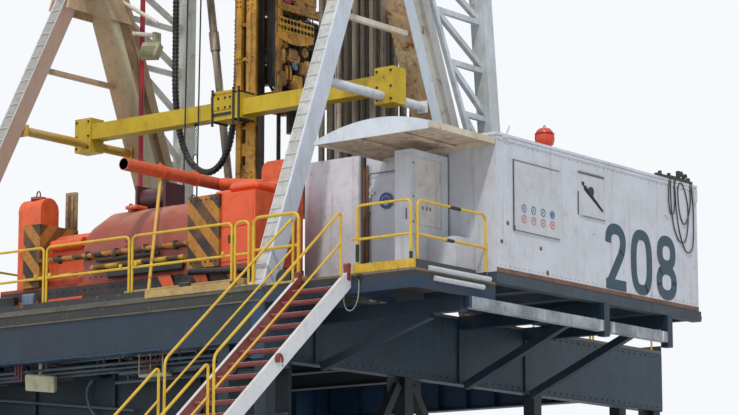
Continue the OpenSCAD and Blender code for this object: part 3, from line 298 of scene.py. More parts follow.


# Every finish: paint, faded paint, grime and rust; fade, dirt, chips, runs, gloss, scale and dust, which on
# the drawworks housing is a painted highlight
finishes = {
    "legBeige": ("b79d7d a68869 8d7761 7c4b30", 0.8, 0.45, 0.42, 0.5, 0.6, 1.0, 0.35),
    "legRust": ("bfa683 a07f58 6f5034 7a4322", 0.9, 0.7, 0.62, 0.8, 0.65, 1.4, 0.35),
    # cream strip: painted light on the lit flange of the left back leg
    "creamLitStrip": ("dbd2b4 cec1a0 a18c6c 7c4b30", 0.6, 0.3, 0.25, 0.3, 0.6, 1.0, 0.35),
    "whiteStrip": ("ccd6e1 bec7d1 9a938a 7c4b30", 0.6, 0.25, 0.3, 0.3, 0.5, 1.0, 0.35),
    # grey strip: painted shade on the recessed web of the right back leg
    "greyShadeStrip": ("b4b3b3 a3a09c 7b736a 7c4b30", 0.7, 0.4, 0.3, 0.5, 0.5, 1.0, 0.35),
    "upperStrut": ("d8cbb8 c3b096 8d7761 7c4b30", 0.6, 0.4, 0.4, 0.3, 0.5, 1.0, 0.35),
    "poleYellow": ("dcae48 c99a3c 7d6230 5e4a2a", 0.6, 0.3, 0.3, 0.3, 0.4, 2, 0.35),
    "laggingWhite": ("c6ccd6 bcc2ca 7b7f84 6a5040", 0.8, 0.5, 0.4, 0.3, 0.5, 4, 0.35),
    "bracketBlue": ("132c40 142a3a 0a151c 3a342c", 0.6, 0.5, 0.3, 0.5, 0.42, 1.0, 0.4),
    "frontLeg": ("d6dee9 c1c2c8 96877c 7a4a2c", 0.4, 0.25, 0.22, 0.4, 0.42, 1.0, 0.35),
    "strutPaint": ("dfe5ee cdc9bc 8f8676 7a4a2c", 0.35, 0.3, 0.3, 0.3, 0.42, 1.0, 0.2),
    "backLeg": ("c1ae8a a59c90 8d7761 7c4b30", 0.4, 0.5, 0.5, 0.6, 0.6, 1.0, 0.35),
    "frameWhite": ("dfe5ee c9d0da 8f9298 7a4a2c", 0.7, 0.25, 0.22, 0.35, 0.42, 1.0, 0.35),
    "frameBeige": ("d6c3a4 b9987c 8d7761 7c4b30", 0.85, 0.45, 0.42, 0.5, 0.6, 1.0, 0.35),
    # grey of the ladder faces: painted shade on the legs' front faces
    "ladderShadeGrey": ("b9b9b6 a3a3a0 7d7a74 8a6040", 0.5, 0.5, 0.42, 0.6, 0.6, 1.8, 0.35),
    "mastWhite": ("bcc0b9 a9ada9 8f8474 7c4b30", 0.6, 0.4, 0.36, 0.6, 0.55, 1.0, 0.15),
    "beamYellow": ("cdb01c b99a16 75591d 6b4a26", 0.8, 0.35, 0.3, 0.4, 0.45, 1.0, 0.35),
    "guideYellow": ("e1a632 bc7f1f 3f2b14 33241a", 0.8, 0.75, 0.5, 0.8, 0.38, 1.5, 0.1),
    "driveYellow": ("c08a22 8e5f18 231a13 2a1d14", 0.9, 0.85, 0.62, 0.7, 0.32, 2.2, 0.1),
    "guardYellow": ("dcab28 c18f1e 4d3614 4a3018", 0.6, 0.5, 0.4, 0.3, 0.4, 2, 0.1),
    "greasySteel": ("38322b 54483a 17140f 50331f", 0.8, 0.7, 0.45, 0.4, 0.3, 2.4, 0.15),
    "darkIron": ("2a2c2e 3d3e3d 141414 4b3423", 0.7, 0.6, 0.3, 0.3, 0.45, 2, 0.3),
    "substructure": ("123450 102a40 0a151e 3a342c", 0.7, 0.6, 0.25, 0.6, 0.42, 1.0, 0.35),
    # posts, braces and floor beams: a darker copy of the substructure blue, painted shade under the floor
    "substructureShade": ("14222c 0e1820 080f14 2d2b27", 0.8, 0.6, 0.25, 0.6, 0.5, 1.0, 0.5),
    "deckPlate": ("5a5c5c 494b4b 2c2c2a 4c3a2b", 0.8, 0.6, 0.35, 0.2, 0.5, 1.0, 0.5),
    "landingSteel": ("5a4a3e 4b3f38 1b1d20 6a4a30", 0.25, 0.5, 0.35, 0.3, 0.55, 1.6, 0.15),
    "curbSteel": ("2c3036 3b3935 1c1e21 7a6440", 0.7, 0.7, 0.55, 0.5, 0.6, 1.5, 0.45),
    "rotaryRed": ("8c3223 6f281d 221713 3a241a", 0.7, 0.6, 0.5, 0.2, 0.4, 1.0, 0.35),
    # drawworks housing: its strong pale pink dust paints a highlight on the top
    "housingRed": ("9e4a39 985f51 6f3b2f 6a3a26", 0.75, 0.35, 0.2, 0.4, 0.42, 1.0, 0.55),
    "driveOrange": ("e86231 d4552a 5c2a1a 5a2d1a", 0.6, 0.4, 0.3, 0.35, 0.36, 1.4, 0.3),
    "skidMix": ("2a3138 4a3a30 15181a 8a4426", 0.7, 0.6, 0.55, 0.5, 0.5, 1.3, 0.4),
    "intakeOrange": ("d95b35 c0705e 6a3a30 59362a", 0.75, 0.4, 0.35, 0.25, 0.36, 1.4, 0.35),
    "hazard": ("b5782a a0692a 3a2b20 4d3020", 0.5, 0.6, 0.45, 0.4, 0.5, 1.8, 0.2),
    "bumperPaint": ("c69a2a a87d24 3a2b20 4d3020", 0.5, 0.6, 0.5, 0.2, 0.5, 2, 0.35),
    "winchMaroon": ("4f1c27 3c161e 160d0e 47291f", 0.6, 0.5, 0.35, 0.3, 0.35, 1.8, 0.25),
    "stairWhite": ("dfe0e4 cfcfd2 8d8580 8a3d2e", 0.6, 0.22, 0.34, 0.2, 0.42, 1.0, 0.35),
    "stairMaroon": ("8a3a34 7a302c 4a2622 b8a79d", 0.7, 0.4, 0.42, 0.3, 0.45, 1.0, 0.55),
    "railYellow": ("dcb52e c99c22 8a6d20 5e4a2a", 0.6, 0.3, 0.34, 0.15, 0.36, 2.5, 0.35),
    "cabinWhite": ("cdd1dc c1c3ca 938c84 7d5230", 0.6, 0.28, 0.3, 0.5, 0.42, 1.0, 0.3),
    "boardBeige": ("d9cebd c2b49f 8a7558 7d5230", 0.7, 0.4, 0.3, 0.4, 0.6, 1.0, 0.35),
    # canopy ceiling: dark beige with heavy brown blotches, painted shade under the roof
    "ceilingShadeBeige": ("d7c4af ac9782 5f4f40 6a4426", 0.8, 0.7, 0.4, 0.1, 0.7, 1.3, 0.35),
    "panelCream": ("dcd8d8 d0cac8 8a7558 7d5230", 0.7, 0.4, 0.3, 0.5, 0.5, 1.0, 0.35),
    "discBlue": ("1f4480 2f548c 8b98a8 cfd2cf", 0.6, 0.25, 0.25, 0.3, 0.42, 4, 0),
    "stringerPaint": ("dfe0e4 c9c4c4 8d7a72 8a3d2e", 0.1, 0.22, 0.34, 0.2, 0.42, 1.0, 0.1),
    "canopyWhite": ("d4dbe6 bec4cb 8f887c 7d5230", 0.6, 0.25, 0.26, 0.3, 0.42, 1.0, 0.2),
    "skidSteel": ("3a4652 2a333d 15181c 6a5040", 0.8, 0.5, 0.42, 0.5, 0.5, 1.0, 0.35),
    "signGrey": ("c8ccd3 b9bdc2 8f8b80 7d5230", 0.5, 0.3, 0.25, 0.4, 0.4, 1.0, 0.35),
    "lampHousing": ("b9b79a 9a987e 5b5645 6a4a2e", 0.7, 0.5, 0.4, 0.3, 0.5, 2.5, 0.35),
    "pipeSteel": ("8d857a 6c655c 3d3731 6b4730", 0.4, 0.5, 0.45, 0.7, 0.4, 1.6, 0.35),
    "sheaveSteel": ("6f675b 55503f 2a2621 5a3a24", 0.8, 0.6, 0.4, 0.2, 0.35, 1.0, 0.35),
    "wireRope": ("34343a 26262b 141416 3a3029", 0.6, 0.5, 0.2, 0.1, 0.35, 4, 0.35),
    "standpipeRed": ("b02a3e 9a2336 5a1a24 5a2d22", 0.6, 0.3, 0.3, 0.4, 0.36, 1.0, 0.35),
    "windWhite": ("e8e8f0 d3d6de 8f9296 6f6a60", 0.8, 0.35, 0.3, 0.5, 0.5, 1.0, 0.35),
    "rungWhite": ("e9e6da cfc9b8 8c8878 7a4a2c", 0.6, 0.3, 0.3, 0.2, 0.42, 3, 0.35),
    "valveBlue": ("7c8ea3 56677b 20242a 3d2a20", 0.7, 0.5, 0.3, 0.3, 0.25, 4, 0.35),
    "hoseBlack": ("1f1f20 3a3733 0e0e0e 4a3a2a", 0.6, 0.4, 0.1, 0.3, 0.4, 4, 0.35),
    "brightOrange": ("ea5a26 d64c20 6b2b18 5a2d1a", 0.5, 0.25, 0.3, 0.2, 0.3, 1.8, 0.35),
    "numberPaint": ("24404f 2e4c5b 4c5a60 b9bdbb", 0.6, 0.3, 0.3, 0.3, 0.45, 1.5, 0.0),
    "edgeGrey": ("77757a 5a5552 3a342e 6b4730", 0.7, 0.6, 0.5, 0.3, 0.42, 3, 0.35),
    "signBlue": ("3a5f96 5d7ba6 b9c0c6 cfd2cf", 0.6, 0.2, 0.1, 0.3, 0.42, 4, 0),
    "signRed": ("b25560 c67c80 c9bdb8 cfd2cf", 0.7, 0.3, 0.1, 0.3, 0.42, 4, 0),
    "signFaded": ("bfc1c4 c9cccc b5b2aa cfd2cf", 0.7, 0.4, 0.2, 0.3, 0.42, 4, 0),
    "lampRed": ("dc4a2e c83c24 5a2418 4a241a", 0.5, 0.3, 0.25, 0.3, 0.25, 3, 0.35),
    "rustStrip": ("7c5b48 5e4030 30241c 8f5a34", 0.9, 0.6, 0.6, 0.5, 0.6, 2.5, 0.35),
    "timber": ("bfa16a a5875a 5c4a34 7a5a36", 0.8, 0.6, 0.3, 0.2, 0.7, 2, 0.35),
    "edgeBeige": ("6b6048 504b40 2f3133 8a6a3a", 0.9, 0.7, 0.5, 0.5, 0.6, 2, 0.35),
    "boltBlue": ("1c3c4c 15303e 0d1d26 4b3826", 0.6, 0.5, 0.4, 0.2, 0.42, 4, 0.35),
    "ropeGrey": ("a5a49c 8f8d84 6d675c 7a6a54", 0.6, 0.4, 0.1, 0.3, 0.8, 6, 0.35),
    # dark teal of the sheet under the floor: painted shade
    "underShadeTeal": ("081c26 0c232e 061319 2a2a28", 0.6, 0.6, 0.2, 0.6, 0.6, 1.0, 0.1),
    "wireRust": ("6e3a38 5a3a36 2a2020 6a4030", 0.6, 0.4, 0.3, 0.3, 0.6, 4, 0.35),
    "lampGlass": ("8f9070 7a7b60 4a4a3c 5a4a35", 0.6, 0.5, 0.2, 0.3, 0.15, 5, 0.35),
    "pipeBlue": ("46545e 33404a 1a2228 5a4634", 0.8, 0.6, 0.45, 0.4, 0.45, 2.5, 0.35),
    "girderFace": ("0b2031 102c3e 08141c 3a342c", 0.7, 0.6, 0.25, 0.8, 0.42, 1.0, 0.12),
    "girderDark": ("1a3040 213a4a 0c151c 3a342c", 0.7, 0.6, 0.3, 0.6, 0.42, 1.0, 0.3),
}
# Colour of the dust where it isn't the usual one; the drawworks housing's pale pink is a painted highlight
# on its top
usualDust = "a99c86"
bumpDepth = 0.004
dustAndHighlightColours = {
    "bracketBlue": "70695a", "beamYellow": "d9c46a", "substructure": "5d5a50",
    "substructureShade": "5f5a4e", "deckPlate": "7f776a", "landingSteel": "a08a6c",
    "curbSteel": "a08550", "housingRed": "d39a83", "driveOrange": "e08a62", "skidMix": "8a775c",
    "intakeOrange": "df8b6a", "stairMaroon": "b38480", "railYellow": "ecd67a", "canopyWhite": "d9d5cc",
    "skidSteel": "7f776a", "brightOrange": "f08a5e", "lampRed": "e88a70", "timber": "cdb27c",
    "girderFace": "4a5458", "girderDark": "5a5a50"}
metal = {"greasySteel": 0.5, "darkIron": 0.3, "pipeSteel": 0.3, "sheaveSteel": 0.4, "wireRope": 0.4,
         "valveBlue": 0.3}
far = None
patterns = {
    "upperStrut": byPlace("X", [(0.0, "c9ab92"), (9.9, "e0dbd0")]),
    "bracketBlue": byBoxes("11283a", [((7.775, -4.71, -0.535), (far, -0.50, -0.32), "a7adb5"),
                                      ((7.775, -0.28, -0.535), (far, 1.75, -0.32), "a7adb5"),
                                      ((7.775, -0.62, -0.535), (far, -0.55, -0.32), "eceef0"),
                                      ((7.775, 1.55, -0.535), (far, 1.62, -0.32), "eceef0"),
                                      ((7.775, -0.22, -0.535), (far, -0.12, -0.32), "eceef0")]),
    "frontLeg": byPlace("X", [(0.0, "c8ab9b"), (9.9, "cfd9e9")]),
    "strutPaint": byPlace("X", [(0.0, "c99f1e"), (9.9, "dce3ec")]),
    "backLeg": byPlace("X", [(-3.6, "b89f7c"), (0.0, "cdc09e"), (3.7, "987b54"), (9.9, "c6c6bf")]),
    # painted shade: the ladder faces darker on the left legs than on the right
    "ladderShadeGrey": byPlace("X", [(0.0, "a5a3a1"), (9.9, "cacbc9")]),
    "mastWhite": byPlace("X", [(0.0, "cccdc6"), (9.9, "ccd4dd")]),
    "substructure": byPlace("X", [(4.55, "15395a"), (9.9, "16242f")]),
    "landingSteel": byBoxes("123049", [((far, far, -0.12), (far, far, -0.04), "2b2826"),
                                       ((far, far, -0.04), (far, far, 0.003), "7d6d55"),
                                       ((far, far, 0.003), (far, -6.25, far), "d8ae30"),
                                       ((far, -6.25, 0.003), (far, far, far), "3a3d40")]),
    "skidMix": byPlace("Z", [(0.50, "2b3036"), (0.62, "c4492a"), (9.9, "cdb684")]),
    "hazard": stripes(0.52, 0.9, "2a211c", "b87c2c"),
    "bumperPaint": stripes(0.62, 0.25, "1b1a1a", "cfa93a"),
    "stringerPaint": byPlace("X", [(5.9, "7d2f2a"), (9.9, "d9dce2")]),
    "pipeSteel": pipeShades,
}
mats = {name: paint(name, row[0].split(), *row[1:]) for name, row in finishes.items()}


# Black rubber with a dusty sheen
def hoseRubber():
    m, tree, shader, v = newMaterial("hoseRubber")
    cloud = ramp(tree, noiseOf(tree, v, 6, 6, 0.65), 0.4, 0.75)
    colour = mixed(tree, times(tree, cloud, 0.5), rgb("17171a"), rgb("4a4743"))
    feed(tree, shader.inputs["Base Color"], colour)
    feed(tree, shader.inputs["Roughness"], ramp(tree, noiseOf(tree, v, 14, 5, 0.6), 0.1, 1.0))
    bumped(tree, shader, noiseOf(tree, v, 60, 4, 0.6), 0.002)
    return m


mats["hoseRubber"] = hoseRubber()

nodeFinish = {
    "strutPaint": ["a_frame_struts"],
    "frontLeg": ["a_frame_front_legs"],
    "backLeg": ["a_frame_back_legs"],
    "frameBeige": ["a_frame_top"],
    "ladderShadeGrey": ["a_frame_ladders"],
    "mastWhite": ["mast_left_side", "mast_right_side", "mast_front_bracing", "crown_frame"],
    "beamYellow": ["torque_crossbeam", "racking_board"],
    "guideYellow": ["guide_column"],
    "driveYellow": ["top_drive", "travelling_block"],
    "guardYellow": ["drive_guard"],
    "greasySteel": ["drive_links"],
    "substructure": ["side_girders", "end_girders", "base_box_left", "base_box_right", "base_spreaders"],
    "bracketBlue": ["cabin_brackets"],
    # the under-floor parts get the darker blue: painted shade
    "substructureShade": ["substructure_posts", "substructure_braces", "floor_beams"],
    "deckPlate": ["drill_floor"],
    "landingSteel": ["landing"],
    "curbSteel": ["floor_curb"],
    "rotaryRed": ["rotary_table"],
    "housingRed": ["drawworks_housing"],
    "driveOrange": ["drawworks_drives", "blower_duct"],
    "skidMix": ["drawworks_skid"],
    "intakeOrange": ["intake_pipe"],
    "hazard": ["hazard_plates"],
    "winchMaroon": ["air_winch"],
    "stringerPaint": ["stair_stringers"],
    "stairMaroon": ["stair_treads"],
    "railYellow": ["stair_rails", "floor_rails"],
    "cabinWhite": ["cabin_walls", "cabin_front", "cabin_door", "cabin_lockers"],
    "canopyWhite": ["canopy", "cabin_roof"],
    "windWhite": ["wind_wall"],
    "skidSteel": ["cabin_skid"],
    "signGrey": ["cabin_fittings"],
    "lampHousing": ["floodlights"],
    "pipeSteel": ["pipe_stands", "mousehole_pipe"],
    "sheaveSteel": ["crown_sheaves"],
    "wireRope": ["drill_lines"],
    "standpipeRed": ["standpipe"],
    "hoseRubber": ["rotary_hose"],
}


def dress(node, material):
    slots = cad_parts[node].data.materials
    slots.clear()
    slots.append(mats[material])


for finish, nodes in nodeFinish.items():
    for node in nodes:
        dress(node, finish)
missing = set(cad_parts) - {n for group in nodeFinish.values() for n in group}
print("materials made, without one:", sorted(missing))


# Mesh helpers


# Two unit vectors square to a direction
def squareTo(direction):
    d = Vector(direction).normalized()
    side = Vector((0, 0, 1)).cross(d)
    if side.length < 1e-3:
        side = Vector((1, 0, 0)).cross(d)
    side.normalize()
    return side, d.cross(side).normalized()


# Tube along points, its radius one number or one for each point
def addTube(bm, points, radius, sides=10, closed=False):
    pts = [Vector(p) for p in points]
    n = len(pts)
    radii = radius if isinstance(radius, (list, tuple)) else [radius] * n
    side, other = squareTo(pts[1] - pts[0])
    rings = []
    for i in range(n):
        if closed:
            tangent = (pts[(i + 1) % n] - pts[i - 1]).normalized()
        else:
            tangent = (pts[min(i + 1, n - 1)] - pts[max(i - 1, 0)]).normalized()
        side = (side - tangent * side.dot(tangent)).normalized()
        other = tangent.cross(side)
        rings.append([bm.verts.new(pts[i] + (side * math.cos(a) + other * math.sin(a)) * radii[i])
                      for a in (2 * math.pi * k / sides for k in range(sides))])
    for i in range(n if closed else n - 1):
        a, b = rings[i], rings[(i + 1) % n]
        for k in range(sides):
            bm.faces.new((a[k], a[(k + 1) % sides], b[(k + 1) % sides], b[k]))
    if not closed:
        bm.faces.new(rings[0][::-1])
        bm.faces.new(rings[-1])


def addRod(bm, p, q, radius, sides=12):
    addTube(bm, [p, q], radius, sides)


# Box between two corners, with its edges bevelled, and turned by a matrix about its centre
def addBox(bm, lo, hi, bevel=0.0, turn=None):
    lo, hi = Vector(lo), Vector(hi)
    centre = (lo + hi) / 2
    size = hi - lo
    made = bmesh.ops.create_cube(bm, size=1.0)
    verts = made["verts"]
    bmesh.ops.scale(bm, vec=size, verts=verts)
    if bevel:
        edges = list({e for v in verts for e in v.link_edges})
        out = bmesh.ops.bevel(bm, geom=edges, offset=bevel, segments=1, affect="EDGES", profile=0.5)
        verts = list({v for f in out["faces"] for v in f.verts} | {v for v in verts if v.is_valid})
    if turn is not None:
        bmesh.ops.transform(bm, matrix=turn.to_4x4(), verts=verts)
    bmesh.ops.translate(bm, vec=centre, verts=verts)
    return verts


# Flat plate from an outline of points, thickened along a direction
def addPlate(bm, outline, direction, thick):
    d = Vector(direction).normalized() * thick
    low = [bm.verts.new(Vector(p)) for p in outline]
    high = [bm.verts.new(Vector(p) + d) for p in outline]
    n = len(low)
    bm.faces.new(low[::-1])
    bm.faces.new(high)
    for i in range(n):
        bm.faces.new((low[i], low[(i + 1) % n], high[(i + 1) % n], high[i]))


def addRing(bm, centre, axis, radius, thick, turns=20, sides=8, start=0.0, sweep=360.0):
    side, other = squareTo(axis)
    whole = sweep >= 359.9
    count = turns if whole else turns + 1
    points = []
    for i in range(count):
        a = math.radians(start + sweep * i / turns)
        points.append(Vector(centre) + (side * math.cos(a) + other * math.sin(a)) * radius)
    addTube(bm, points, thick, sides, closed=whole)


def addDisc(bm, centre, axis, radius, thick, sides=24):
    axis = Vector(axis).normalized()
    addTube(bm, [Vector(centre), Vector(centre) + axis * thick], radius, sides)


def piece(bm, name, material, body="rig", smooth=35):
    bmesh.ops.recalc_face_normals(bm, faces=bm.faces)
    mesh = bpy.data.meshes.new(name)
    bm.to_mesh(mesh)
    bm.free()
    mesh.materials.append(mats[material] if isinstance(material, str) else material)
    obj = bpy.data.objects.new(name, mesh)
    bpy.context.scene.collection.objects.link(obj)
    if smooth:
        mesh.shade_smooth()
        mesh.set_sharp_from_angle(angle=math.radians(smooth))
    if body:
        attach(obj, body)
    return obj


makers = {"boxes": addBox, "rods": addRod, "discs": addDisc, "rings": addRing, "tubes": addTube,
          "plates": addPlate}


# One piece from tables; rows of boxes, rods, discs and rings start with two points or a point and an axis
def assemble(name, finish, body="rig", smooth=35, **tables):
    bm = bmesh.new()
    for kind, rows in tables.items():
        for values in rows:
            if kind in ("tubes", "plates"):
                makers[kind](bm, *values)
            else:
                makers[kind](bm, values[:3], values[3:6], *values[6:])
    return piece(bm, name, finish, body=body, smooth=smooth)


# Catmull-Rom curve through points
def smoothLine(points, steps=5):
    pts = [Vector(p) for p in points]
    out = []
    for i in range(len(pts) - 1):
        a, b = pts[max(i - 1, 0)], pts[i]
        c, d = pts[i + 1], pts[min(i + 2, len(pts) - 1)]
        for k in range(steps):
            t = k / steps
            out.append(0.5 * (2 * b + (c - a) * t + (2 * a - 5 * b + 4 * c - d) * t * t
                              + (3 * b - a - 3 * c + d) * t ** 3))
    out.append(pts[-1])
    return out


# Rotary hose
hose = {"diameter": 0.12, "y": -0.9, "pitch": 0.085, "ripple": 0.015, "crest": 0.077, "sides": 14,
        "route": [(-2.48, 12.4147), (-2.48, 9.6), (-2.48, 6.7), (-2.45, 5.1), (-2.2, 4.05), (-1.8, 3.56),
                  (-1.35, 3.5), (-0.98, 3.9), (-0.79, 4.8), (-0.74, 5.9), (-0.74, 7.0497)]}


def makeHose():
    line = smoothLine([(x, hose["y"], z) for x, z in hose["route"]], 5)
    lengths = [0.0]
    for a, b in zip(line, line[1:]):
        lengths.append(lengths[-1] + (b - a).length)
    total = lengths[-1]
    count = int(total / (hose["pitch"] / 4))
    points, radii = [], []
    j = 0
    for i in range(count + 1):
        s = total * i / count
        while j < len(lengths) - 2 and lengths[j + 1] < s:
            j += 1
        t = (s - lengths[j]) / (lengths[j + 1] - lengths[j])
        points.append(line[j].lerp(line[j + 1], t))
        end = min(s, total - s)
        wave = hose["ripple"] * (0.5 + 0.5 * math.cos(2 * math.pi * i / 4)) if end > 0.4 else 0.0
        radii.append((hose["crest"] if end > 0.4 else hose["diameter"] / 2) - wave)
    obj = assemble("RotaryHose", "hoseRubber", body=None, smooth=60, tubes=[
        (points, radii, hose["sides"])
    ])
    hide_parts("rotary_hose")
    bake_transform(obj)
    print("hose made, %.2f m" % total)


makeHose()

# One tree repeats a part at marked points


def repeatTree():
    tree = bpy.data.node_groups.new("Repeat part", "GeometryNodeTree")
    for label, kind in (("Geometry", "Geometry"), ("Part", "Object"), ("Size", "Float"),
                        ("Unevenness", "Float"),
                        ("Material", "Material")):
        tree.interface.new_socket(label, in_out="INPUT", socket_type="NodeSocket" + kind)
    tree.interface.new_socket("Geometry", in_out="OUTPUT", socket_type="NodeSocketGeometry")
    given = addNode(tree, "NodeGroupInput").outputs
    marked = {}
    for label in ("turn", "stretch"):   # named attributes on the points
        marked[label] = addNode(tree, "GeometryNodeInputNamedAttribute", data_type="FLOAT_VECTOR",
                                Name=label).outputs[0]
    chance = addNode(tree, "FunctionNodeRandomValue", data_type="FLOAT", Seed=11)
    feed(tree, chance.inputs[2], sum2(tree, 1.0, given["Unevenness"], "SUBTRACT"))
    feed(tree, chance.inputs[3], sum2(tree, 1.0, given["Unevenness"]))
    size = times(tree, chance.outputs[1], given["Size"])
    scale = addNode(tree, "ShaderNodeVectorMath", operation="SCALE", Scale=size)
    feed(tree, scale.inputs[0], marked["stretch"])
    info = addNode(tree, "GeometryNodeObjectInfo", Object=given["Part"])
    placed = addNode(tree, "GeometryNodeInstanceOnPoints", Points=given["Geometry"],
                     Instance=info.outputs["Geometry"],
                     Rotation=marked["turn"], Scale=scale.outputs["Vector"])
    real = addNode(tree, "GeometryNodeRealizeInstances", Geometry=placed.outputs["Instances"])
    coat = addNode(tree, "GeometryNodeSetMaterial", Geometry=real.outputs["Geometry"],
                   Material=given["Material"])
    addNode(tree, "NodeGroupOutput", Geometry=coat.outputs["Geometry"])
    return tree


repeater = repeatTree()


# Euler angles that turn +Z to a direction
def aimed(direction):
    return tuple(Vector(direction).to_track_quat("Z", "Y").to_euler())


# Repeats a part: it is a bmesh at the origin, and each place is a point, a turn and a stretch
def repeat(name, part, places, material, body="rig", size=1.0, unevenness=0.0, smooth=40):
    bmesh.ops.recalc_face_normals(part, faces=part.faces)
    mesh = bpy.data.meshes.new(name + "Part")
    part.to_mesh(mesh)
    part.free()
    helper = bpy.data.objects.new(name + "Part", mesh)
    bpy.context.scene.collection.objects.link(helper)
    spots = bpy.data.meshes.new(name + "Spots")
    spots.from_pydata([tuple(p[0]) for p in places], [], [])
    for label, k in (("turn", 1), ("stretch", 2)):
        attribute = spots.attributes.new(label, "FLOAT_VECTOR", "POINT")
        for item, place in zip(attribute.data, places):
            item.vector = place[k]
    holder = bpy.data.objects.new(name + "Spots", spots)
    bpy.context.scene.collection.objects.link(holder)
    modifier = holder.modifiers.new("Repeat", "NODES")
    modifier.node_group = repeater
    wanted = {"Part": helper, "Size": size, "Unevenness": unevenness, "Material": mats[material]}
    for item in repeater.interface.items_tree:
        if item.in_out == "INPUT" and item.name in wanted:
            modifier[item.identifier] = wanted[item.name]
    bpy.context.view_layer.update()
    graph = bpy.context.evaluated_depsgraph_get()
    made = bpy.data.meshes.new_from_object(holder.evaluated_get(graph), depsgraph=graph)
    bpy.data.objects.remove(holder)
    bpy.data.objects.remove(helper)
    made.name = name
    for label in ("turn", "stretch"):
        if label in made.attributes:
            made.attributes.remove(made.attributes[label])
    if not made.materials:
        made.materials.append(mats[material])
    obj = bpy.data.objects.new(name, made)
    bpy.context.scene.collection.objects.link(obj)
    if smooth:
        made.shade_smooth()
        made.set_sharp_from_angle(angle=math.radians(smooth))
    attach(obj, body)
    return obj


clear = 0.0005   # gap between a thin piece and the face that it covers


def boltPart():
    bm = bmesh.new()
    addDisc(bm, (0, 0, 0), (0, 0, 1), 1.5, 0.25, 10)
    addDisc(bm, (0, 0, 0.25), (0, 0, 1), 1.0, 0.9, 6)
    return bm


def rodPart(sides=8):
    bm = bmesh.new()
    addRod(bm, (-0.5, 0, 0), (0.5, 0, 0), 0.5, sides)
    return bm


def blockPart(bevel=0.0):
    bm = bmesh.new()
    addBox(bm, (-0.5, -0.5, -0.5), (0.5, 0.5, 0.5), bevel)
    return bm


def row(p, q, n):
    p, q = Vector(p), Vector(q)
    return [p.lerp(q, (i + 0.5) / n) for i in range(n)]


# Named values of a dictionary, in the order of the names
def values(source, names):
    return [source[name] for name in names.split()]


# Points of an arc about a centre, from one angle to another in degrees
def arc(across, up, radius, start, end, steps):
    angles = [math.radians(start + (end - start) * k / steps) for k in range(steps + 1)]
    return [(across + radius * math.cos(a), up + radius * math.sin(a)) for a in angles]


# Places of bolts or rivets on points, square to a face
def studs(points, direction, size, tall=None):
    return [(p, aimed(direction), (size, size, tall or size)) for p in points]


# The same in rows: size, first and last point, count
def studRows(direction, rows):
    return [place for size, p, q, n in rows for place in studs(row(p, q, n), direction, size)]


# Ladder faces of the front legs; their grey plates are painted shade of the legs' front faces, darker on
# the left
ladder = {"foot": (4.365, -6.24), "tall": 7.9, "inward": 0.535, "back": 3.63, "low": 0.12, "high": 7.45,
          "pitch": 0.27, "gap": 0.008, "plate": (-0.135, 0.115, 0.006), "rung": (-0.13, 0.1),
          "strips": ((0.118, 0.15, 0.014), (-0.152, -0.138, 0.01)), "rungRadius": 0.008, "rungOut": 0.03}


# Point on the middle of the leg's front at a height
def legPoint(z):
    x, y = ladder["foot"]
    return Vector((x - ladder["inward"] * z / ladder["tall"], y + ladder["back"] / ladder["tall"] * z, z))


def makeLadders():
    radius, low, high, pitch, gap, off = values(ladder, "rungRadius low high pitch gap rungOut")
    out = Vector((0, -1, ladder["back"] / ladder["tall"])).normalized()
    plates, strips = bmesh.new(), bmesh.new()
    rungs, feet = [], []

    def lay(bm, a, b, left, right, thick):   # a sheet between two points of the leg
        corners = ((a, left), (a, right), (b, right), (b, left))
        addPlate(bm, [flip @ (p + Vector((x, 0, 0)) + out * clear) for p, x in corners], out, thick)

    for side in (1, -1):
        flip = Matrix.Diagonal((side, 1, 1))
        z = low
        while z + pitch < high:
            lay(plates, legPoint(z + gap), legPoint(z + pitch - gap), *ladder["plate"])
            left, right = (legPoint(z) + Vector((x, 0, 0)) for x in ladder["rung"])
            size = ((right - left).length, 2 * radius, 2 * radius)
            rungs.append((flip @ ((left + right) / 2 + out * off), (0, 0, 0), size))
            for end in (left + Vector((0.012, 0, 0)), right - Vector((0.012, 0, 0))):
                feet.append((flip @ (end + out * off / 2), (0, 0, 0), (0.02, 0.03, 0.02)))
            z += pitch
        for strip in ladder["strips"]:
            lay(strips, legPoint(0.1), legPoint(high), *strip)
    obj = piece(plates, "LegFacePlates", "ladderShadeGrey")
    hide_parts("a_frame_ladders")
    piece(strips, "LegFaceStrips", "frameWhite")
    repeat("LegRungs", rodPart(8), rungs, "rungWhite")
    repeat("LegRungFeet", blockPart(), feet, "rungWhite")
    print("ladder faces made")


makeLadders()

# Guide column
column = {"half": 0.26, "front": -1.5, "back": -1.2, "low": 1.7, "high": 30.0, "slot": (-0.125, 0.0),
          "recess": 0.09, "edge": 0.05, "sideRail": 27.0, "boltSize": 0.012,
          "bolts": [1.95 + 1.2 * i for i in range(23)],
          "splices": (3.05, 5.7, 9.3, 14.8, 20.3, 25.8), "closeTies": 4.1}


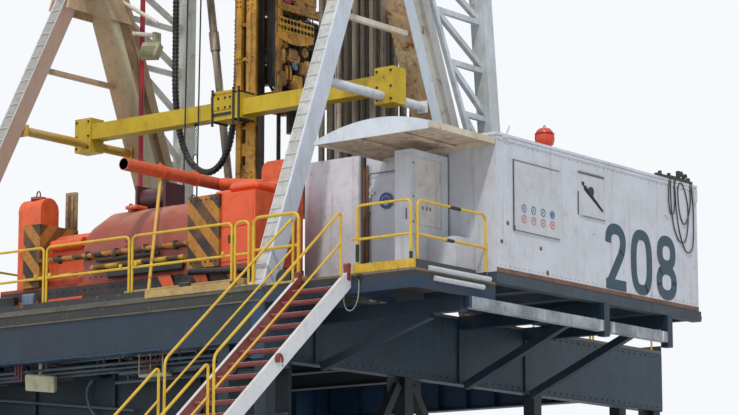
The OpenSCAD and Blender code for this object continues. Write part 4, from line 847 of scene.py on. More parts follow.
def makeColumn():
    x1, front, back, low, high, edge, top = values(column, "half front back low high edge sideRail")
    x0 = -x1
    s0, s1 = column["slot"]
    core = front + column["recess"]
    step = front + 0.012   # right of the slot the face lies back a little
    obj = assemble("GuideColumn", "guideYellow", boxes=[
        (x0, core, low, x1, back, high, 0.004), (x0, front, low, s0, core, high, 0.006),
        (s1, step, low, x1 - edge, core, high, 0.006), (x1 - edge, front, low, x1, core, high, 0.006)
    ])
    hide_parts("guide_column")
    assemble("ColumnShadowRails", "greasySteel", boxes=[
        (s0 + 0.001, core - 0.004, low + 0.02, s1 - 0.001, core - clear, high - 0.02),
        (x1 + 0.001, front + 0.05, low, x1 + 0.03, front + 0.2, top, 0.004),
        (x1 + 0.001, front + 0.22, low + 0.3, x1 + 0.022, front + 0.28, top, 0.004)
    ])
    ties = []
    z = low + 0.15
    while z < high - 0.3:
        tall, pitch = (0.26, 0.46) if z < column["closeTies"] else (0.07, 0.72)
        ties.append((((s0 + s1) / 2, core - 0.03, z), (0, 0, 0), (s1 - s0, 0.05, tall)))
        z += pitch
    repeat("ColumnTies", blockPart(0.02), ties, "guideYellow")
    spots = [(x, step if x > s1 else front, z + dz) for z in column["bolts"] for dz in (-0.05, 0.05)
             for x in (x0 + 0.03, s0 - 0.03, s1 + 0.04, x1 - 0.09)]
    repeat("ColumnBolts", boltPart(), studs(spots, (0, -1, 0), column["boltSize"]), "greasySteel")
    assemble("ColumnSplices", "guardYellow", boxes=[
        (x0 - 0.004, front - 0.003, z - 0.09, s0 - 0.004, front + 0.02, z + 0.09, 0.004)
        for z in column["splices"]
    ] + [
        (x1 - 0.002, front, z - 0.16, x1 + 0.006, back - 0.02, z + 0.16, 0.003) for z in column["splices"]
    ])
    print("guide column made")


makeColumn()

# Top drive
drive = {"half": 0.6, "front": -1.16, "back": 0.42, "low": 4.75, "high": 8.05, "post": 0.12, "rail": 0.15}


def makeDrive():
    h, y0, y1, z0, z1, post, rail = values(drive, "half front back low high post rail")
    boxes = []
    for s in (-1, 1):   # corner posts and the rails between them
        a, b = sorted((s * h, s * (h - 0.11)))
        boxes += [(a, y, z0, b, y + post, z1, 0.01) for y in (y0, y1 - post)]
        a, b = sorted((s * h, s * (h - 0.1)))
        boxes += [(a, y0 + post, z, b, y1 - post, z + rail, 0.01) for z in (z0, 6.62, 7.9)]
    boxes += [(-h + 0.11, y, z, h - 0.11, y + 0.14, z + rail, 0.01) for z in (z0, 7.9)
              for y in (y0, y1 - 0.14)]
    boxes += [(0.36, -0.62, 6.75, 0.575, 0.1, 7.55, 0.03),
              (-0.56, -0.7, 6.8, -0.36, 0.1, 7.4, 0.03)]   # covers
    obj = assemble("DriveFrame", "driveYellow", body="hoist", boxes=boxes, discs=[
        (0, -0.1, 6.66, 0, 0, 1, 0.38, 0.95, 40), (0, -0.1, 7.61, 0, 0, 1, 0.30, 0.16, 40)
    ])
    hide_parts("top_drive")
    assemble("DriveGearbox", "greasySteel", body="hoist", boxes=[
        (-0.43, -0.78, 5.62, 0.43, 0.4, 6.62, 0.05), (-0.40, -1.1, 5.85, 0.40, -0.78, 6.5, 0.03),
        (-0.50, -1.05, 5.1, 0.50, -0.86, 5.5, 0.02)
    ] + [
        (x, -0.7, z, x + 0.04, 0.34, z + 0.03, 0.006) for z in (5.7, 5.95, 6.2, 6.45) for x in (0.43, -0.47)
    ], discs=[
        (0, -0.1, 4.86, 0, 0, 1, 0.31, 0.5, 36), (0, -0.1, 5.36, 0, 0, 1, 0.22, 0.26, 30),
        (0, 0, 4.25, 0, 0, 1, 0.12, 0.62, 28)
    ], rings=[
        (0, -0.1, 6.76 + 0.09 * k, 0, 0, 1, 0.385, 0.012, 40, 6) for k in range(9)
    ])
    # lumps at the right side: pump, brake calipers, manifold
    assemble("DrivePumps", "guideYellow", body="hoist", boxes=[
        (0.40, -1.13, 5.5, 0.585, -0.9, 5.82, 0.03), (0.44, -0.84, 5.56, 0.58, -0.42, 5.76, 0.04),
        (0.42, -0.62, 5.02, 0.57, -0.34, 5.32, 0.02)
    ], discs=[
        (0.44, -0.2, 5.52, 1, 0, 0, 0.16, 0.14, 28), (0.42, -0.72, 5.2, 0, 0, 1, 0.13, 0.3, 24),
        (0.42, -0.2, 5.0, 0, 0, 1, 0.11, 0.36, 24)
    ])
    assemble("DriveValve", "valveBlue", body="hoist", discs=[
        (0.58, -0.62, 5.5, 1, 0, 0, 0.085, 0.012, 26), (0.585, -0.62, 5.5, 1, 0, 0, 0.03, 0.015, 16),
        (0.50, -0.98, 6.72, 1, 0, 0, 0.07, 0.08, 22)
    ], rings=[
        (0.592, -0.62, 5.5, 1, 0, 0, 0.055, 0.012, 24, 6)
    ])
    assemble("DriveRedBox", "standpipeRed", body="hoist", boxes=[
        (0.44, -0.98, 6.78, 0.585, -0.74, 7.0, 0.02)
    ], discs=[
        (0.49, -0.86, 7.0, 0, 0, 1, 0.05, 0.1, 20)
    ])
    # hydraulic lines, each a bent tube between two of the parts
    rng = random.Random(5)
    bm = bmesh.new()
    for k in range(16):
        y = -1.08 + 0.075 * k
        z = rng.uniform(4.95, 5.4)
        top = rng.uniform(6.55, 7.6)
        x = rng.uniform(0.5, 0.56)
        line = smoothLine([(0.45, y + rng.uniform(-0.05, 0.05), z), (x, y, z + 0.12),
                           (x, y + rng.uniform(-0.05, 0.05), 5.9),
                           (x, y + rng.uniform(-0.03, 0.03), 6.55), (0.44, y, top)], 5)
        addTube(bm, line, rng.choice((0.009, 0.012, 0.016)), 7)
    for k in range(7):
        x = 0.30 + 0.045 * k
        line = smoothLine([(x, -1.0, 4.95), (x, -1.13, 5.2), (x + rng.uniform(-0.02, 0.02), -1.13, 6.2),
                           (x, -1.12, 7.3), (x, -0.9, 7.7)], 5)
        addTube(bm, line, rng.choice((0.011, 0.015, 0.02)), 7)
    piece(bm, "DriveLines", "hoseBlack", body="hoist")
    # arm that carries the hose's end
    bend = [(x, -0.9, z) for x, z in arc(-0.62, 7.23, 0.12, 180, 90, 8)]
    assemble("HoseArm", "guardYellow", body="hoist", tubes=[
        ([(-0.74, -0.9, 7.05)] + bend + [(-0.50, -0.9, 7.35)], 0.05, 16)
    ], discs=[
        (-0.74, -0.9, 7.06, 0, 0, 1, 0.085, 0.03, 20), (-0.74, -0.9, 7.16, 0, 0, 1, 0.085, 0.03, 20),
        (-0.585, -0.9, 7.35, 1, 0, 0, 0.085, 0.03, 20)
    ])
    print("top drive made")


makeDrive()

# Perforated band guard on the drive's side, with the tray below it
guard = {"x": 0.6, "y0": -1.15, "y1": -0.05, "z0": 6.17, "z1": 6.45, "holes": 10, "rows": 2, "proud": 0.018,
         "sheet": 0.006, "rim": 0.011, "trayTop": 6.165, "traySheet": 0.012, "traySteps": 14}


def trayLow(u):
    return 6.06 - 0.13 * math.sin(math.pi * min(1, 0.15 + u * 0.85))


def makeGuard():
    x, y0, y1, z0, z1, ny, nz, top = values(guard, "x y0 y1 z0 z1 holes rows trayTop")
    dy, dz = (y1 - y0) / ny, (z1 - z0) / nz
    rim = ((-1, -1), (0, -1), (1, -1), (1, 0), (1, 1), (0, 1), (-1, 1), (-1, 0))
    bm = bmesh.new()
    for y, z in [(y0 + (i + 0.5) * dy, z0 + (j + 0.5) * dz) for j in range(nz) for i in range(ny)]:
        outer = [(y + u * dy / 2, z + w * dz / 2) for u, w in rim]
        inner = [(y + 0.38 * dz * math.cos(a), z + 0.36 * dz * math.sin(a))
                 for a in (math.radians(225 + 45 * k) for k in range(8))]
        a, b = ([bm.verts.new((x + guard["proud"], p, q)) for p, q in loop] for loop in (outer, inner))
        for k in range(8):
            bm.faces.new((a[k], a[(k + 1) % 8], b[(k + 1) % 8], b[k]))
    bmesh.ops.remove_doubles(bm, verts=bm.verts, dist=0.0005)
    grown = bmesh.ops.extrude_face_region(bm, geom=list(bm.faces))
    moved = [v for v in grown["geom"] if isinstance(v, bmesh.types.BMVert)]
    bmesh.ops.translate(bm, vec=(guard["sheet"], 0, 0), verts=moved)
    for z in (z0, z1):
        addTube(bm, [(x + 0.012, y0, z), (x + 0.012, y1, z)], guard["rim"], 8)
    obj = piece(bm, "BandGuard", "guardYellow", body="hoist")
    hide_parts("drive_guard")
    bm = bmesh.new()
    n = guard["traySteps"]
    for i in range(n):   # curved tray under the band
        u, w = i / n, (i + 1) / n
        a, b = y0 + u * 1.1, y0 + w * 1.1
        outline = [(0.605, a, trayLow(u)), (0.605, b, trayLow(w)), (0.605, b, top), (0.605, a, top)]
        addPlate(bm, outline, (1, 0, 0), guard["traySheet"])
    bmesh.ops.remove_doubles(bm, verts=bm.verts, dist=0.0003)
    piece(bm, "GuardTray", "guideYellow", body="hoist")
    print("band guard made")


makeGuard()

# Drawworks
works = {"x0": -0.6, "x1": 2.1, "y0": -5.5, "y1": -4.1, "low": 0.56, "high": 1.93}


def makeHousing():
    x0, x1, y0, y1, low, high = values(works, "x0 x1 y0 y1 low high")
    profile = [(y0, low)] + arc(y0 + 0.6, high - 0.6, 0.6, 180, 90, 8)
    profile += arc(y1 - 0.5, high - 0.54, 0.5, 90, 0, 8) + [(y1, low)]
    bm = bmesh.new()
    rings = []
    for x, s in ((x0, 0.80), (x0 + 0.06, 0.86), (x0 + 0.42, 1.0), (0.55, 1.0), (0.556, 0.995),
                 (0.568, 0.995),
                 (0.574, 1.0), (x1 - 0.03, 1.0), (x1, 0.985)):   # place and size of each section
        rings.append([bm.verts.new((x, y0 + (y - y0) * (0.5 + 0.5 * s), low + (z - low) * s))
                      for y, z in profile])
    for a, b in zip(rings, rings[1:]):
        for k in range(len(profile)):
            j = (k + 1) % len(profile)
            bm.faces.new((a[k], b[k], b[j], a[j]))
    bm.faces.new(rings[0])
    bm.faces.new(rings[-1][::-1])
    obj = piece(bm, "DrumHousing", "housingRed", smooth=30)
    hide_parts("drawworks_housing")
    eyes = ((0.04, -4.9, 1.93), (1.64, -4.9, 1.93), (-2.48, -4.88, 2.45))
    assemble("LiftingEyes", "greasySteel", rings=[
        (x, y, z + 0.085, 0.3, 1, 0, 0.075, 0.014, 22, 8) for x, y, z in eyes
    ], boxes=[
        (x - 0.05, y - 0.03, z - 0.01, x + 0.05, y + 0.03, z + 0.03, 0.006) for x, y, z in eyes
    ])
    places = studRows((0, -1, 0), (
        (0.013, (-0.5, y0, 0.63), (2.05, y0, 0.63), 17),
        (0.011, (0.5, y0, 0.7), (0.5, y0, 1.3), 6), (0.011, (0.62, y0, 0.7), (0.62, y0, 1.3), 6),
        (0.014, (2.12, -5.56, 0.66), (2.86, -5.56, 0.66), 6),
        (0.014, (2.12, -5.56, 1.82), (2.86, -5.56, 1.82), 6),
        (0.012, (-2.7, -5.5, 0.16), (3.6, -5.5, 0.16), 34),
        (0.012, (-2.7, -5.5, 0.42), (3.6, -5.5, 0.42), 34)))
    repeat("HousingBolts", boltPart(), places, "greasySteel", unevenness=0.1)
    # seams, belt covers and guards in brighter paint
    assemble("DriveCovers", "brightOrange", boxes=[
        (2.92, -5.42, 1.90, 3.62, -4.75, 2.12, 0.09), (2.95, -4.72, 1.90, 3.55, -4.25, 2.2, 0.07),
        (2.30, -5.1, 1.90, 2.78, -4.5, 2.06, 0.06), (2.9, -5.512, 0.62, 3.66, -5.495, 1.2, 0.01),
        (2.9, -5.512, 1.26, 3.66, -5.495, 1.86, 0.01), (-1.6, -5.44, 1.28, -0.66, -5.30, 1.36, 0.02)
    ], tubes=[
        ([(-1.55, -5.36, 1.36), (-0.72, -5.36, 1.36)], [0.11, 0.11], 18)
    ], discs=[
        (-2.86, -4.85, 2.2, 1, 0, 0, 0.2, 0.05, 28), (-2.5, -5.12, 1.5, 0, -1, 0, 0.2, 0.06, 28)
    ])
    assemble("BumperBrackets", "darkIron", boxes=[
        (3.05, -5.516, 0.95, 3.2, -5.5, 1.12, 0.01), (0.1, -5.62, 0.56, 2.0, -5.52, 0.74, 0.03)
    ] + [
        (x - 0.03, -5.6, 0.97, x + 0.03, -5.49, 1.13, 0.008) for x in (-1.2, -0.45, 0.3, 1.05, 1.8)
    ], rods=[
        (-0.2, -5.56, 0.93, 1.4, -5.56, 0.93, 0.035, 10), (2.2, -5.60, 0.5, 3.6, -5.60, 0.42, 0.06, 12)
    ])
    print("drawworks made")


makeHousing()

# Cabin: number, board, hatch, lamp
cabin = {"wall": 7.9, "y0": -3.9, "y1": 3.0}
digits = {"low": 0.29, "stroke": 0.2, "starts": (-0.37, 0.53, 1.45), "thick": 0.004,
          "two": [(0.11, 0.88), (0.13, 1.03), (0.22, 1.13), (0.36, 1.16), (0.51, 1.13), (0.61, 1.02),
                  (0.62, 0.87), (0.56, 0.70), (0.42, 0.50), (0.26, 0.28), (0.15, 0.12)],
          "foot": [(0.02, 0.1), (0.72, 0.1)],
          "zero": (0.38, 0.63, 0.28, 0.53, 0.72),
          "eight": ((0.37, 0.35, 0.27, 0.25, 0.85), (0.37, 0.92, 0.24, 0.24, 0.85))}


def ribbon(bm, points, width, x, closed=False, thick=0.004):
    pts = [Vector((0, p[0], p[1])) for p in points]
    n = len(pts)
    left, right = [], []
    for i in range(n):
        a = pts[i - 1] if (i > 0 or closed) else pts[i]
        b = pts[(i + 1) % n] if (i < n - 1 or closed) else pts[i]
        t = (b - a).normalized()
        side = Vector((0, -t.z, t.y)) * width / 2
        left.append(pts[i] + side)
        right.append(pts[i] - side)
    for i in range(n if closed else n - 1):
        j = (i + 1) % n
        addPlate(bm, [p + Vector((x, 0, 0)) for p in (left[i], left[j], right[j], right[i])], (1, 0, 0),
                 thick)
    bmesh.ops.remove_doubles(bm, verts=bm.verts, dist=0.00005)


def oval(cy, cz, ry, rz, power=0.8, n=40):
    out = []
    for k in range(n):
        a = 2 * math.pi * k / n
        c, s = math.cos(a), math.sin(a)
        out.append((cy + ry * math.copysign(abs(c) ** power, c),
                    cz + rz * math.copysign(abs(s) ** power, s)))
    return out


def makeNumber():
    curve = [tuple(p)[1:] for p in smoothLine([(0, a, b) for a, b in digits["two"]], 6)]
    strokes = ([(curve, False), (digits["foot"], False)], [(oval(*digits["zero"]), True)],
               [(oval(*part), True) for part in digits["eight"]])
    for name, start, paths in zip(("NumberFirst", "NumberSecond", "NumberThird"), digits["starts"],
                                  strokes):
        bm = bmesh.new()
        for k, (path, closed) in enumerate(paths):
            points = [(start + a, digits["low"] + b) for a, b in path]
            ribbon(bm, points, digits["stroke"], cabin["wall"] + clear + 0.0012 * k, closed,
                   digits["thick"])
        piece(bm, name, "numberPaint")
    print("number made")


makeNumber()

# Sign board with its rings and discs, and the hatch
signs = {"board": (-3.38, 1.0, -1.9, 2.28), "hatch": (-1.28, 1.56, -0.36, 2.34),
         "first": -3.06, "pitch": 0.303,
         "edges": ((-3.38, 2.262, -1.9, 2.28), (-3.38, 1.0, -3.362, 2.28), (-3.38, 1.0, -1.9, 1.014),
                   (-3.39, 0.99, -3.33, 1.08), (-1.28, 1.56, -1.268, 2.0), (-1.1, 1.55, -0.36, 1.562)),
         "stains": ((-3.74, 0.75), (-2.51, 0.77), (-3.55, 1.1), (-2.3, 0.35), (0.06, 0.38)),
         "rivetRows": (0.33, 2.54)}
roofLamp = {"back": 0.2, "y": -2.05, "z": 2.7003, "ribs": 8, "proud": 1.03,
            "profile": ((0.09, 0.0), (0.10, 0.03), (0.14, 0.06), (0.165, 0.12), (0.175, 0.19),
                        (0.165, 0.26), (0.14, 0.32), (0.09, 0.37), (0.02, 0.39))}


def makeSigns():
    x = cabin["wall"]
    y0, z0, y1, z1 = signs["board"]
    y2, z2, y3, z3 = signs["hatch"]
    obj = assemble("WallPanels", "signGrey", boxes=[
        (x + clear, y0, z0, x + 0.016, y1, z1, 0.003), (x + clear, y2, z2, x + 0.018, y3, z3, 0.004)
    ])
    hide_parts("cabin_fittings")
    # thin dark edges of the board and the hatch
    assemble("PanelEdges", "edgeGrey", boxes=[
        (x + clear, -1.27, 2.345, x + 0.03, -0.4, 2.385, 0.008)
    ] + [
        (x + 0.001, y0, z0, x + 0.024, y1, z1, 0.002) for y0, z0, y1, z1 in signs["edges"]
    ])
    across = [signs["first"] + signs["pitch"] * i for i in range(4)]
    for name, z, finish, last in (("RingsBlue", 1.43, "signBlue", 0.045),
                                  ("RingsRed", 1.24, "signRed", 0.022)):
        assemble(name, finish, rings=[
            (x + 0.0175, y, z, 1, 0, 0, 0.066, 0.009, 26, 6) for y in across
        ], discs=[
            (x + 0.0165, y, z, 1, 0, 0, r, 0.0025, 20) for y, r in zip(across, (0.022, 0.022, 0.022, last))
        ])
    assemble("DiscsFaded", "signFaded", discs=[
        (x + 0.0165, y, 1.88, 1, 0, 0, 0.075, 0.002, 24) for y in across
    ])
    print("signs made")


makeSigns()

# Handle of the hatch, a diagonal bar with its pivot
def makeHandle():
    x = cabin["wall"]
    a, b = Vector((x + 0.028, -1.16, 2.15)), Vector((x + 0.028, -0.46, 1.72))
    along = (b - a).normalized()
    side, back, start = Vector((0, -along.z, along.y)), Vector((0.01, 0, 0)), a.lerp(b, 0.12)
    blade = [start + side * 0.05 - back, start - side * 0.05 - back,
             b - side * 0.02 - back, b + side * 0.02 - back]
    assemble("HatchHandle", "darkIron", tubes=[
        ([a, a.lerp(b, 0.3), a.lerp(b, 0.34), b], [0.011, 0.011, 0.011, 0.009], 10)
    ], plates=[
        (blade, (1, 0, 0), 0.008)
    ], discs=[
        (x + 0.018, -0.86, 2.04, 1, 0, 0, 0.09, 0.016, 20),
        (x + 0.018, -1.13, 2.16, 1, 0, 0, 0.035, 0.016, 16)
    ])
    print("hatch handle made")


makeHandle()

# Lamp on the roof: ribbed drum with a rounded top
def makeRoofLamp():
    profile, count, proud = values(roofLamp, "profile ribs proud")
    c = Vector((cabin["wall"] - roofLamp["back"], roofLamp["y"], roofLamp["z"]))
    ribs = []
    for a in (2 * math.pi * k / count for k in range(count)):
        line = [c + Vector((math.cos(a) * r * proud, math.sin(a) * r * proud, z)) for r, z in profile[2:8]]
        ribs.append((line, 0.008, 6))
    drum = ([c + Vector((0, 0, z)) for r, z in profile], [r for r, z in profile], 28)
    assemble("RoofLamp", "lampRed", smooth=50, tubes=[drum] + ribs)
    assemble("LampCage", "darkIron", rings=[
        (*(c + Vector((0, 0, 0.4))), 1, 0, 0, 0.03, 0.008, 14, 6),
        (*(c + Vector((0, 0, 0.27))), 0, 0, 1, 0.176, 0.008, 28, 6)
    ])
    print("roof lamp made")


makeRoofLamp()

# Edge angles, corner posts, the rusty strip along the floor and rivets
def makeCabinTrim():
    x, y0, y1 = values(cabin, "wall y0 y1")
    assemble("CabinSill", "rustStrip", boxes=[(x + clear, y0, 0.2, x + 0.012, y1, 0.275, 0.002)])
    assemble("CabinTrim", "cabinWhite", boxes=[
        (x + clear, y0, 2.58, x + 0.012, y1, 2.645, 0.003),
        (x + clear, y0, 0.28, x + 0.008, y0 + 0.05, 2.575, 0.003),
        (x + clear, y1 - 0.06, 0.28, x + 0.008, y1, 2.575, 0.003)
    ])
    spots = [p for z in signs["rivetRows"] for p in row((x, -3.85, z), (x, 2.95, z), 46)]
    places = studs(spots, (1, 0, 0), 0.007, 0.003)
    places += studs([(x, y, z) for y, z in signs["stains"]], (1, 0, 0), 0.03, 0.004)
    repeat("CabinRivets", boltPart(), places, "rustStrip", unevenness=0.25)
    print("cabin side made")


makeCabinTrim()

# Canopy over the landing: front board, side boards, roof sheet and a ceiling whose dark beige with brown
# blotches is painted shade
canopy = {"x0": 5.39, "x1": 7.9, "y0": -5.92, "y1": -3.92, "low": 2.44, "sheet": 0.03, "side": 0.115}


def canopyTop(u):
    return canopy["low"] + 0.06 + 0.95 * u - 0.87 * u * u


def makeCanopy():
    x0, x1, y0, y1, low = values(canopy, "x0 x1 y0 y1 low")
    curve = [(x0 + (x1 - x0) * k / 24, canopyTop(k / 24)) for k in range(25)]
    bm = bmesh.new()
    outline = [(x0, y0, low)] + [(x, y0, z) for x, z in curve] + [(x1, y0, low)]
    addPlate(bm, outline, (0, 1, 0), canopy["sheet"])
    for (xa, za), (xb, zb) in zip(curve, curve[1:]):
        addPlate(bm, [(xa, y0 + 0.03, za - 0.02), (xb, y0 + 0.03, zb - 0.02), (xb, y1, zb - 0.02),
                      (xa, y1, za - 0.02)], (0, 0, 1), 0.018)
    bmesh.ops.remove_doubles(bm, verts=bm.verts, dist=0.0002)
    obj = piece(bm, "CanopyFrontBoard", "canopyWhite")
    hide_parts("canopy")
    assemble("CanopySideBoards", "boardBeige", boxes=[
        (x1 - 0.03, y0 + 0.031, low + 0.035, x1, y1, low + 0.035 + canopy["side"], 0.004),
        (x0, y0 + 0.031, low, x0 + 0.03, y1, low + 0.075, 0.004),
        (x0 + 0.031, y1 - 0.03, low, x1 - 0.031, y1, low + 0.11, 0.004),
        (x0 + 0.031, y0 + 0.032, low + 0.01, x1 - 0.031, y0 + 0.06, low + 0.08, 0.004)
    ])
    # the ceiling's dark beige and brown blotches are painted shade under the canopy
    assemble("CanopyCeiling", "ceilingShadeBeige", plates=[
        ([(x0 + 0.03, y0 + 0.06, low + 0.05), (x1 - 0.03, y0 + 0.06, low + 0.12),
          (x1 - 0.03, y1 - 0.03, low + 0.12), (x0 + 0.03, y1 - 0.03, low + 0.05)], (0, 0, 1), 0.004)
    ], boxes=[
        (x0 + 0.8, y0 + 0.06, low + 0.01, x0 + 0.85, y1 - 0.03, low + 0.05),
        (x0 + 1.65, y0 + 0.06, low + 0.035, x0 + 1.7, y1 - 0.03, low + 0.08)
    ])
    assemble("CanopyGrabRail", "boardBeige", rods=[
        (x0 + 0.95, y0 + 0.35, canopyTop(0.5) - 0.03, x0 + 1.7, y0 + 0.35, canopyTop(0.5) - 0.03, 0.02, 8)
    ])
    print("canopy made")


makeCanopy()

# Locker with a framed side, door wall with its conduits and disc
locker = {"x": 6.85, "y0": -5.0, "y1": -3.92, "low": 0.0, "high": 2.35}


def makeLocker():
    x, y0, y1, low, high = values(locker, "x y0 y1 low high")
    assemble("LockerFrame", "canopyWhite", boxes=[
        (x + clear, y0, low + 0.84, x + 0.02, y0 + 0.07, high, 0.003),
        (x + clear, y1 - 0.2, low + 0.84, x + 0.02, y1, high, 0.003),
        (x + clear, y0 + 0.07, high - 0.12, x + 0.02, y1 - 0.2, high, 0.003),
        (x + clear, y0 + 0.07, low + 0.84, x + 0.02, y1 - 0.2, low + 1.0, 0.003)
    ])
    assemble("LockerPanel", "panelCream", boxes=[
        (x + clear, y0 + 0.09, low + 1.02, x + 0.01, y1 - 0.22, high - 0.14, 0.003),
        (x + 0.001, y0 + 0.1, low + 1.72, x + 0.014, y1 - 0.23, low + 1.75, 0.002)
    ])
    assemble("LockerHinges", "edgeGrey", boxes=[
        (x + 0.001, y1 - 0.012, low + 0.02, x + 0.03, y1, high + 0.05, 0.002),
        (x - 0.12, y0 - 0.012, 1.1, x - 0.09, y0 - clear, 1.3, 0.003)
    ] + [
        (x + 0.011, y, 1.3, x + 0.013, y + 0.05, 1.36) for y in (y0 + 0.3, y0 + 0.42, y0 + 0.52)
    ], discs=[
        (x + 0.02, y0 + 0.035, z, 1, 0, 0, 0.02, 0.008, 12) for z in (1.05, 1.5, 2.1)
    ])
    assemble("WallConduits", "rustStrip", rods=[
        (xx, -3.96, 0.02, xx, -3.96, top, r, 10)
        for xx, r, top in ((5.0, 0.02, 2.35), (5.07, 0.028, 2.4), (6.2, 0.018, 2.3))
    ], boxes=[
        (4.97, -3.965, z, 5.11, -3.93, z + 0.03) for z in (0.6, 1.5, 2.2)
    ])
    assemble("DoorSeams", "edgeGrey", boxes=[
        (5.965, -3.998, 0.22, 5.99, -3.992, 2.24), (5.1, -3.998, 2.215, 5.99, -3.992, 2.24)
    ])
    assemble("DoorDisc", "discBlue", body="door", discs=[
        (5.52, -3.9935, 1.7, 0, -1, 0, 0.15, 0.003, 30)
    ])
    assemble("DoorDiscRing", "cabinWhite", body="door", rings=[
        (5.52, -3.997, 1.7, 0, -1, 0, 0.085, 0.006, 24, 6)
    ], boxes=[
        (5.5, -3.9985, 1.62, 5.54, -3.9966, 1.7)
    ])
    print("locker and door wall made")


makeLocker()

# Cable bracket on the roof edge and the cables that hang from it
cables = {"diameter": 0.024, "x": 7.921, "routes": (
    [(2.02, 2.72), (2.0, 2.5), (2.02, 2.1), (2.12, 1.72), (2.3, 1.5), (2.5, 1.52), (2.62, 1.8), (2.64, 2.2),
     (2.55, 2.5), (2.42, 2.66),
     (2.3, 2.62), (2.27, 2.4), (2.33, 2.05), (2.47, 1.86), (2.62, 1.98), (2.72, 2.25), (2.74, 2.5),
     (2.72, 2.72)],
    [(2.12, 2.72), (2.16, 2.5), (2.2, 2.1), (2.3, 1.7), (2.46, 1.4), (2.62, 1.31), (2.78, 1.42),
     (2.84, 1.75), (2.84, 2.2), (2.8, 2.5), (2.78, 2.72)],
    [(1.96, 2.72), (1.92, 2.45), (1.93, 2.15), (2.0, 2.0), (2.1, 2.05), (2.15, 2.3), (2.14, 2.55),
     (2.2, 2.72)])}


def makeCables():
    x = cables["x"]
    assemble("CableBracket", "darkIron", boxes=[
        (7.86, 1.49, 2.7003, 7.935, 2.82, 2.75, 0.006), (7.86, 2.3, 2.75, 7.935, 2.36, 2.9, 0.004),
        (7.86, 2.0, 2.75, 7.92, 2.75, 2.775, 0.004)
    ] + [
        (7.87, y, 2.75, 7.93, y + 0.05, 2.81, 0.004) for y in (1.62, 1.95, 2.5, 2.68)
    ], discs=[
        (7.86, 2.42, 2.85, 1, 0, 0, 0.055, 0.07, 18), (7.86, 2.58, 2.83, 1, 0, 0, 0.045, 0.07, 18)
    ])
    assemble("JunctionBox", "signGrey", boxes=[
        (7.9005, 2.86, 2.36, 7.94, 2.99, 2.62, 0.006), (7.9, -3.72, 2.62, 7.94, -3.55, 2.66, 0.006)
    ], rods=[
        (7.92, -3.64, 2.62, 7.92, -3.5, 2.86, 0.016, 8)
    ])
    for k, route in enumerate(cables["routes"]):
        line = smoothLine([(x + 0.001 * k, y, z) for y, z in route], 6)
        bm = bmesh.new()
        addTube(bm, line, cables["diameter"] / 2, 8)
        obj = piece(bm, "HangingCable%d" % (k + 1), "hoseBlack")
    print("cable bracket made")


makeCables()

# Stair: white flange on the stringers, maroon hooks, treads' nosings
stair = {"x0": 5.38, "width": 1.15, "web": 0.07, "slope": math.radians(40.5), "front": -6.3, "up": 0.1,
         "floor": 8.0, "treads": 33}


def stairY(drop):
    return stair["front"] - drop / math.tan(stair["slope"])


def makeStair():
    x0, x1 = stair["x0"], stair["x0"] + stair["width"]
    bm = bmesh.new()
    for a, b in ((x0, x0 + stair["web"]), (x1 - stair["web"], x1)):
        top = [(a, stairY(0) - 0.002, stair["up"]), (b, stairY(0) - 0.002, stair["up"]),
               (b, stairY(7.9), stair["up"] - 7.9), (a, stairY(7.9), stair["up"] - 7.9)]
        addPlate(bm, [Vector(p) + Vector((0, 0, clear)) for p in top], (0, 0, 1), 0.006)
    piece(bm, "StairFlanges", "stairWhite")
    bm = bmesh.new()
    for drop in (1.62, 3.2, 4.8, 6.4):   # lifting hooks on the outer stringer
        c = Vector((x1 + 0.012, stairY(drop) - 0.02, -drop - 0.02))
        addRing(bm, c, (1, 0, 0), 0.085, 0.022, 18, 8, start=-30, sweep=250)
        addBox(bm, c + Vector((-0.011, -0.07, -0.05)), c + Vector((0.012, 0.02, 0.05)), 0.004)
    for x in (x0 - 0.012, x1 - stair["web"] - 0.012):   # head lugs
        addBox(bm, (x, -6.42, -0.13), (x + stair["web"] + 0.024, -6.302, 0.125), 0.02)
    addDisc(bm, (x1 - 0.085, -6.36, 0.13), (1, 0, 0), 0.05, 0.1, 16)
    piece(bm, "StairHooks", "stairMaroon")
    rise = stair["floor"] / (stair["treads"] + 1)
    spots = []
    for i in range(1, stair["treads"] + 1):
        y, z = stairY(i * rise) - 0.028, -i * rise
        spots += [(p, (0, 0, 0), (0.024, 0.012, 0.008))
                  for p in row((x0 + 0.09, y, z), (x1 - 0.09, y, z), 16)]
    repeat("TreadStuds", blockPart(), spots, "stairWhite", unevenness=0.15)
    print("stair trim made")


makeStair()

# Rails: hoop at the stair's head, tape on worn rails, feet
railTop = 1.17
railWide = 0.06
hoop = {"x0": 4.30, "x1": 5.33, "y": -6.255, "high": 1.2, "bend": 0.13, "radius": 0.032}


def hoopLine(x0, x1, y, high, bend):
    bends = arc(x0 + bend, high - bend, bend, 180, 90, 6) + arc(x1 - bend, high - bend, bend, 90, 0, 6)
    return [(x0, y, 0.001)] + [(x, y, z) for x, z in bends] + [(x1, y, 0.001)]


